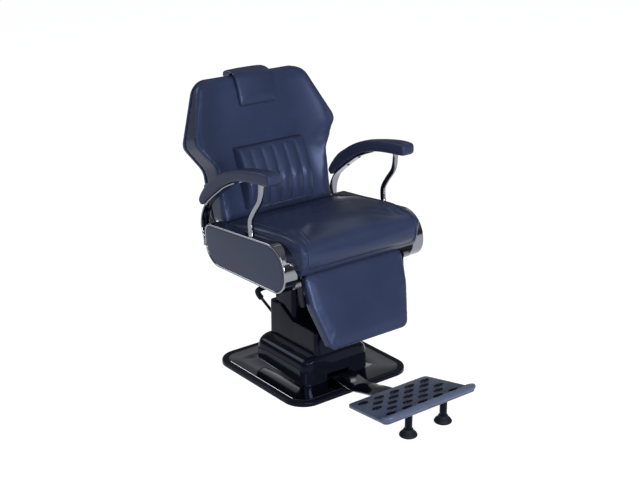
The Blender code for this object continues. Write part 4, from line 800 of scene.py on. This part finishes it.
along = np.concatenate([[0.0], np.cumsum(np.linalg.norm(np.diff((over + under) / 2, axis=0), axis=1))])
end_gap = np.minimum(along, along[-1] - along)
size = np.sqrt(1.0 - np.clip(1.0 - end_gap / 0.009, 0.0, 1.0) ** 2) * 0.3 + 0.7
bar_face = np.vstack([curve(under_points[5:10], 6), curve([(0.140, 0.231), (0.165, 0.207), (0.1825, 0.176),
                      (0.1905, 0.146), (0.191, 0.121), (0.185, 0.101), (0.179, 0.085), (0.1759, 0.069),
                      (0.1759, 0.051)], 6)[1:]])
post_path = np.vstack([[(-0.1671, 0.3645)], curve([(-0.1683, 0.3551), (-0.165, 0.323), (-0.156, 0.296),
                       (-0.126, 0.256), (-0.105, 0.221), (-0.103, 0.193), (-0.1059, 0.1713)], 8),
                       [(-0.1067, 0.1618)]])
slope = np.gradient(bar_face, axis=0)
slope /= np.linalg.norm(slope, axis=1)[:, None]
bar_mid = bar_face - np.column_stack([-slope[:, 1], slope[:, 0]]) * 0.0036
bar_section = box_outline(0.018, 0.003, 0.0024, steps=4)
for name, sign in SIDES:
    rings = []
    for t, b, k in zip(over, under, size):
        ring = (t + b) / 2 + (t - b) / 2 * k * section[:, 1:] + [SEAT_Y, SEAT_Z]
        rings.append(np.column_stack([sign * (ARM_X + 0.028 * k * section[:, 0]), ring]))
    settle(new_mesh("arm_pad_" + name + "_skin", *skin(rings), soft_skin), "seat", "arm_pad_" + name)
    rings = []
    for p, d in zip(bar_mid, slope):
        normal = np.array([-d[1], d[0]])
        place = p + bar_section[:, 1:] * normal + [SEAT_Y, SEAT_Z]
        rings.append(np.column_stack([sign * ARM_X + bar_section[:, 0], place]))
    settle(new_mesh("arm_bar_" + name + "_chrome", *skin(rings), chrome), "seat", "arm_bar_" + name)
    rings = tube(upright(post_path + [SEAT_Y, SEAT_Z], sign * POST_X), disc(0.010, 28))
    settle(new_mesh("arm_post_" + name + "_chrome", *skin(rings), chrome), "seat", "arm_post_" + name)
print("arm pads", round(1000 * along[-1]), "mm along their curve")

# %% [markdown]
# ## Column covers
#
# Three shells hide the pump: a wide lower one with a soft shoulder, a middle box with a low deck in front
# of a sloping step, and a narrow one that rises with the ram. They are injection moulded, so every edge has
# a small radius, and those radii are what catches the light.

# %% Lower cover
shoulder = curve([(0.0086, 0.0, 0.034), (0.050, 0.02, 0.034), (0.078, 0.06, 0.034), (0.096, 0.20, 0.032),
                  (0.107, 0.48, 0.028), (0.112, 0.80, 0.022), (0.114, 1.0, 0.0165)], 5)
rings = []
for wall in (0.0, 0.003):
    for z, share, corner in (shoulder if wall == 0.0 else shoulder[::-1]):
        share = min(1.0, max(0.0, share))
        thin = wall * (1.0 - share)
        hx, hy, cy = 0.150 - 0.0547 * share - thin, 0.157 - 0.0147 * share - thin, 0.005 - 0.007 * share
        rings.append(flat(even(box_outline(hx, hy, corner - 0.7 * thin, cy, 12), 240), z - wall * share))
lower = new_mesh("lower_cover_shell", *skin(rings, around=True), abs_gloss)
for name, lo, hi in (("strap", (-0.050, -0.175, 0.0), (0.050, -0.125, 0.0346)),
                     ("bracket", (-0.069, 0.130, 0.090), (-0.019, 0.1535, 0.124))):
    corners = np.array([(lo[0], lo[1]), (hi[0], lo[1]), (hi[0], hi[1]), (lo[0], hi[1])])
    cutter = new_mesh("cut_" + name, *skin([flat(corners, lo[2]), flat(corners, hi[2])]), abs_gloss)
    with_modifier(lower, 'BOOLEAN', object=cutter, operation='DIFFERENCE', solver='EXACT')
    bpy.data.objects.remove(cutter, do_unlink=True)
settle(lower, "base", "lower_cover", sharp=30.0)
print("lower cover", len(lower.data.polygons), "faces")

# %% Middle and upper cover
COLUMN_Y, RAM_HOLE_R = 0.062, 0.0303


def deck(y):
    """Height of the middle cover's top: deck, step and rear, with eased corners."""
    return np.interp(y, [-0.014, -0.010, -0.005, 0.065, 0.070, 0.075],
                     [0.203, 0.2034, 0.2052, 0.2438, 0.2456, 0.246])


outer = even(box_outline(0.095, 0.142, 0.016, -0.002, 12), 320)
well = box_outline(0.0865, 0.0635, 0.0205, COLUMN_Y, 12)
angle = np.arctan2(outer[:, 1] + 0.002, outer[:, 0])
reach = even(well, 1200)
reach_angle = np.arctan2(reach[:, 1] - COLUMN_Y, reach[:, 0])
well = even(np.roll(reach, -int(np.argmin(np.abs(reach_angle - angle[0]))), axis=0), 320)
rings = [flat(outer, 0.090)]
for d, drop in quarter(0.004, 5):
    p = inset(outer, d)
    rings.append(np.column_stack([p, deck(p[:, 1]) - drop]))
edge = inset(outer, 0.004)
for s in np.linspace(0.08, 1.0, 14):
    p = edge + (well - edge) * s
    rings.append(np.column_stack([p, deck(p[:, 1])]))
rings.append(np.column_stack([well, deck(well[:, 1]) - 0.02]))
middle = new_mesh("middle_cover_shell", *skin(rings, ends=False), abs_gloss)
settle(middle, "base", "middle_cover", sharp=30.0)

rings = [flat(box_outline(0.085, 0.062, 0.019, COLUMN_Y, 12), 0.076)]
for d, drop in quarter(0.005, 5):
    rings.append(flat(box_outline(0.085 - d, 0.062 - d, 0.019 - 0.6 * d, COLUMN_Y, 12), 0.360 - drop))
hole = disc(RAM_HOLE_R, len(rings[0]))
start = rings[0][0][:2] - [0.0, COLUMN_Y]
off_start = np.linalg.norm(hole - RAM_HOLE_R * start / np.linalg.norm(start), axis=1)
hole = np.roll(hole + [0.0, COLUMN_Y], -int(np.argmin(off_start)), axis=0)
rings += [flat(hole, 0.360), flat(hole, 0.340)]
upper = new_mesh("upper_cover_shell", *skin(rings, ends=False), abs_gloss)
settle(upper, "lift", "upper_cover", sharp=30.0)
print("middle and upper cover")

# %% [markdown]
# ## Base
#
# The base is a heavy plate. A rounded, painted rim frames a chrome tray that dishes down inside it, and a
# chrome strap leaves it at the front for the footrest. The tray is a mirror, and it rises a little to the
# foot of the covers, except in front where the strap lies.

# %% Rim, tray and strap
rim = [(0.0, 0.0)] + [(d, 0.016 - drop) for d, drop in quarter(0.0065, 6)]
rim += [(0.024 - d, 0.016 - drop) for d, drop in reversed(quarter(0.003, 4))] + [(0.024, 0.0)]
rings = [flat(box_outline(0.265 - d, 0.265 - d, 0.080 - d, steps=20), z) for d, z in rim]
settle(new_mesh("rim_painted", *skin(rings, around=True), paint), "base", "base_rim")
tray = [(0.026, 0.0063), (0.002, 0.0128), (0.0, 0.0138), (0.001, 0.0148)]
tray += [(d, 0.0083 + 0.0061 * (1.0 - d / 0.130) ** 3) for d in np.linspace(0.004, 0.130, 22)]
rings = []
for d, z in tray:
    p = box_outline(0.2407 - d, 0.2407 - d, 0.0557 - 0.4 * d, steps=16)
    foot = 0.016 * np.clip((d - 0.035) / 0.055, 0.0, 1.0) ** 2 * np.clip((p[:, 1] + 0.150) / 0.05, 0.0, 1.0)
    rings.append(np.column_stack([p, z + foot]))
settle(new_mesh("tray_chrome", *skin(rings), chrome), "base", "base_tray")
strap = curve([(-0.085, 0.0116), (-0.122, 0.0116), (-0.150, 0.0210), (-0.170, 0.0275), (-0.195, 0.0275),
               (-0.225, 0.0235), (-0.250, 0.0205), (-0.278, 0.0205), (-0.315, 0.0280), (-0.360, 0.0385),
               (-0.400, 0.0466), (-0.440, 0.0533), (-0.540, 0.0689)], 6)
slope = np.gradient(strap, axis=0)
slope /= np.linalg.norm(slope, axis=1)[:, None]
strap_section = box_outline(0.048, 0.003, 0.0018, steps=4)
rings = []
for p, d in zip(strap, slope):
    rings.append(np.column_stack([strap_section[:, 0], p + strap_section[:, 1:] * [-d[1], d[0]]]))
settle(new_mesh("strap_chrome", *skin(rings), chrome), "base", "footrest_bar")
strap_length = float(np.linalg.norm(np.diff(strap, axis=0), axis=1).sum())
print("base 530 mm square, strap", round(1000 * strap_length), "mm")

# %% [markdown]
# ## Footrest
#
# The tread is a casting: a sloping plate with rows of raised lozenges for grip and a rolled lip at the front
# that stops the heel. Castings have no sharp edges, so plate, lozenges and lip are all drawn with radii. The
# lozenges get the darker black paint as painted shade, for the shade and dark reflections on their raised
# sides.

# %% Tread, legs and feet
REAR_Y, FRONT_Y = -0.423, -0.655
LEG_X, LEG_Y = 0.079, -0.624


def tread_z(y):
    return 0.066 + 0.036 * (REAR_Y - y) / 0.232


plate = even(rounded([(-0.178, REAR_Y), (0.178, REAR_Y), (0.205, FRONT_Y), (-0.205, FRONT_Y)],
                     [0.016] * 4, 10), 240)
section = [(d, 0.012 - drop) for d, drop in reversed(quarter(0.003, 3))] + quarter(0.0025, 4)
rings = []
for d, drop in section:
    p = inset(plate, d)
    rings.append(np.column_stack([p, tread_z(p[:, 1]) - drop]))
plate_skin, studs = skin(rings), []
hexagon = np.array([(-1, 0), (-0.45, -1), (0.45, -1), (1, 0), (0.45, 1), (-0.45, 1)]) * [0.024, 0.0085]
lozenge = even(rounded(hexagon, [0.003] * 6, 4), 48)
for row in range(5):
    y = REAR_Y - 0.038 - 0.036 * row
    count = 4 if row % 2 else 5
    for column in range(count):
        rings = []
        for share, rise in ((1.0, -0.003), (1.0, 0.0010), (0.95, 0.0030), (0.86, 0.0041), (0.70, 0.0046)):
            p = lozenge * share + [0.070 * (column - (count - 1) / 2), y]
            rings.append(np.column_stack([p, tread_z(p[:, 1]) + rise]))
        studs.append(skin(rings))
lip = [(0.199, 0.045, -0.004, 0.006), (0.202, 0.022, 0.002, 0.009), (0.193, 0.008, 0.006, 0.010),
       (0.171, 0.002, 0.008, 0.011), (0.085, 0.0012, 0.009, 0.011)]
lip = [(-x, *rest) for x, *rest in lip] + [(0.0, 0.001, 0.009, 0.011)] + lip[::-1]
lip = curve(lip, 8)
path = np.column_stack([lip[:, 0], FRONT_Y + lip[:, 1], tread_z(FRONT_Y + lip[:, 1]) + lip[:, 2]])
lip_skin = skin(tube(path, [disc(r, 20) for r in lip[:, 3]]))
settle(new_mesh("tread_cast", *joined(plate_skin, lip_skin), cast), "base", "footrest_plate", sharp=50.0)
# The lozenges' black paint is painted shade, not a colour of their own.
settle(new_mesh("tread_lozenges", *joined(*studs), paint), "base", sharp=50.0)
for name, sign in SIDES:
    leg = disc(0.013, 32) + [sign * LEG_X, LEG_Y]
    rings = [flat(leg, 0.0265), np.column_stack([leg, tread_z(leg[:, 1]) - 0.0123])]
    settle(new_mesh("leg_" + name + "_painted", *skin(rings), paint), "base", "footrest_leg_" + name)
    foot = curve([(0.029, 0.0), (0.031, 0.002), (0.031, 0.0060), (0.027, 0.0120), (0.0195, 0.0191),
                  (0.0165, 0.0262)], 5)
    rings = [flat(disc(r, 40) + [sign * LEG_X, LEG_Y], max(0.0, z)) for r, z in foot]
    settle(new_mesh("foot_" + name + "_rubber", *skin(rings), rubber), "base", "footrest_foot_" + name)
print("tread with", len(studs), "lozenges")

# %% [markdown]
# ## Pump lever
#
# A chrome rod rises from its pivot behind the covers and ends in a bent rubber grip, pushed on like a hose.
# Its mouth has a small collar, and the far end is rounded.

# %% Lever rod and grip
hub = np.array([-0.044, 0.1585, 0.147])
grip_start = np.array([-0.117, 0.1585, 0.249])
aim = (grip_start - hub) / np.linalg.norm(grip_start - hub)
rod = skin(tube([hub + aim * 0.009, (hub + grip_start) / 2, grip_start + aim * 0.020], disc(0.006, 24)))
ring = [(0.0064, 0.1525), (0.0125, 0.1525), (0.014, 0.154), (0.014, 0.163), (0.0125, 0.1645),
        (0.0064, 0.1645)]
rings = []
for r, y in ring:
    p = disc(r, 32)
    rings.append(np.column_stack([hub[0] + p[:, 0], np.full(32, y), hub[2] + p[:, 1]]))
boss = skin(rings, around=True)
settle(new_mesh("lever_rod_chrome", *joined(rod, boss), chrome), "pump_lever", "lever_rod")
elbow = grip_start + aim * 0.030
bend = [elbow + [dx, 0.0, dz] for dx, dz in ((0.002, 0.006), (0.016, 0.013), (0.040, 0.014), (0.066, 0.014))]
bend = curve([grip_start, grip_start + aim * 0.016] + bend, 8)
gap = np.concatenate([[0.0], np.cumsum(np.linalg.norm(np.diff(bend, axis=0), axis=1))])
radius = 0.0105 * np.sqrt(1.0 - np.clip(1.0 - (gap[-1] - gap) / 0.006, 0.0, 0.97) ** 2)
radius[:4] = (0.0085, 0.0110, 0.0112, 0.0107)
grip = new_mesh("lever_grip_rubber", *skin(tube(bend, [disc(r, 24) for r in radius])), rubber)
settle(grip, "pump_lever", "lever_grip")
print("grip", round(1000 * gap[-1]), "mm long")

# %% [markdown]
# ## Screws
#
# Small dark screws hold the bars and posts. Each is a flat dome with a hexagon socket, set into the metal.

# %% Screws


def screw(name, place, direction, radius, body):
    """Domed screw head with a hexagon socket, looking along a direction."""
    d = Vector(direction).normalized()
    u = np.array(d.orthogonal().normalized())
    v = np.cross(d, u)
    dome, socket = disc(1.0, 24), even(disc(1.0, 6), 24)
    rings = []
    for shape, r, rise in ((dome, 1.0, -0.3), (dome, 1.0, 0.1), (dome, 0.85, 0.38), (dome, 0.6, 0.5),
                           (socket, 0.48, 0.5), (socket, 0.48, 0.05)):
        across = (shape[:, :1] * u + shape[:, 1:] * v) * r * radius
        rings.append(np.array(place) + across + np.array(d) * rise * radius)
    settle(new_mesh(name, *skin(rings), paint), body, sharp=30.0)


for name, sign in SIDES:
    p = post_path[42] + [SEAT_Y, SEAT_Z]
    screw("post_screw_" + name, (sign * POST_X, p[0] - 0.0085, p[1]), (0.0, -1.0, 0.15), 0.0042, "seat")
    for j in (6, 16):
        p = bar_mid[j] + [SEAT_Y, SEAT_Z]
        t = bar_mid[j + 1] - bar_mid[j - 1]
        out = np.array([t[1], -t[0]]) / np.linalg.norm(t)
        screw("bar_screw_%s_%d" % (name, j), (sign * ARM_X, *(p + out * 0.003)), (0.0, *out), 0.0055, "seat")
print("six screws")

# %% [markdown]
# ## Carried-over parts
#
# The frame's own solids stay wherever they are plain machined or welded pieces that are mostly hidden:
# plates, pins, the pump, the link. They keep their measured shape and get the finish they would really have.

# %% Finishes of the remaining nodes
plain = {paint: ("base_plate", "swivel_hub", "seat_frame", "back_arm_left", "back_arm_right",
                 "legrest_frame"),
         zinc: ("pump_cylinder", "lever_bracket", "lever_pin", "lift_ram", "swivel_flange",
                "recline_pin_left", "recline_pin_right", "legrest_pin_left", "legrest_pin_right",
                "release_pin", "link_pin_back", "link_pin_leg", "link_rod"),
         chrome: ("headrest_bar", "release_lever"), soft_skin: ("headrest_guide",), rubber: ("release_knob",),
         plywood: ("seat_board", "pod_core_left", "pod_core_right")}
for material, names in plain.items():
    for name in names:
        mesh = nodes[name].data
        mesh.materials.clear()
        mesh.materials.append(material)
print(sum(len(n) for n in plain.values()), "nodes keep their CAD shape")

# %% [markdown]
# ## Camera, floor and light
#
# The camera stands where the photograph was taken from, found from the square base. A large pale floor
# fills the background. It is lit like the chair, and camera and mirror rays also see an even glow of its own,
# so that it is white while the chair still casts a soft shadow on it. A pale sky and soft boxes give the
# light of a studio; the two called sheen are weak and only add soft reflections.

# %% Camera and floor
camera = bpy.data.objects.new("Camera", bpy.data.cameras.new("Camera"))
camera.location = (-2.67046, -3.45376, 2.10921)
camera.rotation_euler = (math.radians(90.0 - 20.2718), 0.0, math.radians(-38.0745))
camera.data.lens = 72.68
camera.data.sensor_width = 36.0
scene.collection.objects.link(camera)
scene.camera = camera
floor_mat = bpy.data.materials.new("Pale studio floor")
floor_mat.use_nodes = True
tree = floor_mat.node_tree
tree.nodes.clear()
ray = put(tree, 'ShaderNodeLightPath')
mirrored = put(tree, 'ShaderNodeMath', operation='MAXIMUM')
tree.links.new(ray.outputs["Is Camera Ray"], mirrored.inputs[0])
tree.links.new(ray.outputs["Is Glossy Ray"], mirrored.inputs[1])
seen = put(tree, 'ShaderNodeMath', operation='MAXIMUM')
tree.links.new(mirrored.outputs[0], seen.inputs[0])
tree.links.new(ray.outputs["Is Transmission Ray"], seen.inputs[1])
glow = put(tree, 'ShaderNodeMapRange', {"To Min": 0.0, "To Max": 0.93}, {"Value": (seen, "Value")})
matt = put(tree, 'ShaderNodeBsdfDiffuse', {"Color": linear("#8A8A8A")})
light = put(tree, 'ShaderNodeEmission', {"Color": (1.0, 1.0, 1.0, 1.0)}, {"Strength": (glow, "Result")})
both = put(tree, 'ShaderNodeAddShader')
tree.links.new(matt.outputs["BSDF"], both.inputs[0])
tree.links.new(light.outputs["Emission"], both.inputs[1])
out = put(tree, 'ShaderNodeOutputMaterial', links={"Surface": (both, "Shader")})
floor = new_mesh("floor", flat(disc(40.0, 64), -0.0005), [tuple(range(64))], floor_mat)
floor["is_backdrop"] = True
print("floor 80 m across")

# %% Sky and soft boxes
world = bpy.data.worlds.new("Studio")
scene.world = world
world.use_nodes = True
tree = world.node_tree
coords = put(tree, 'ShaderNodeTexCoord')
split = put(tree, 'ShaderNodeSeparateXYZ', links={"Vector": (coords, "Generated")})
sky = put(tree, 'ShaderNodeValToRGB', links={"Fac": (split, "Z")})
sky.color_ramp.elements.remove(sky.color_ramp.elements[1])
for height, level in ((0.0, 0.30), (0.10, 0.10), (0.22, 0.16), (0.34, 0.22), (0.48, 0.46), (0.60, 0.40),
                      (0.70, 0.30), (0.85, 0.55), (0.94, 0.30)):
    stop = sky.color_ramp.elements.new(height)
    stop.color = (level * 0.95, level * 0.97, level, 1.0)
sky.color_ramp.elements.remove(sky.color_ramp.elements[0])
tree.links.new(sky.outputs["Color"], tree.nodes["Background"].inputs["Color"])
tree.nodes["Background"].inputs["Strength"].default_value = 0.62
soft_boxes = (("key", (-3.3, -2.4, 2.3), (0.0, 0.0, 0.65), 1.8, 1.8, 55.0),
              ("front strip", (-0.7, -4.2, 1.6), (0.0, 0.0, 1.0), 2.2, 0.7, 175.0),
              ("top front", (-0.9, -2.6, 3.7), (0.0, 0.0, 0.6), 1.2, 1.2, 30.0),
              ("front sheen", (1.5, -3.0, 2.7), (0.0, 0.0, 0.4), 1.2, 1.2, 6.0),
              ("rear sheen", (2.3, 0.9, 2.55), (0.2, -0.5, 0.1), 1.8, 1.2, 4.0),
              ("rim", (-2.0, 3.2, 2.9), (0.0, 0.0, 0.7), 1.8, 1.8, 45.0))
for name, place, target, wide, tall, power in soft_boxes:
    lamp = bpy.data.objects.new(name, bpy.data.lights.new(name, 'AREA'))
    lamp.data.shape = 'RECTANGLE'
    lamp.data.size, lamp.data.size_y = wide, tall
    lamp.data.energy = power
    lamp.location = place
    lamp.rotation_euler = (Vector(target) - Vector(place)).to_track_quat('-Z', 'Y').to_euler()
    scene.collection.objects.link(lamp)
scene.view_settings.view_transform = 'Standard'
print(len(soft_boxes), "soft boxes")

# %% [markdown]
# ## Size of the finished chair
#
# The finished chair should fill the box of the measured frame and hardly more.

# %% Finish
final_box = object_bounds()
for title, box in (("CAD", cad_box), ("visual", final_box)):
    print(title, [round(float(b - a), 3) for a, b in zip(*box)])
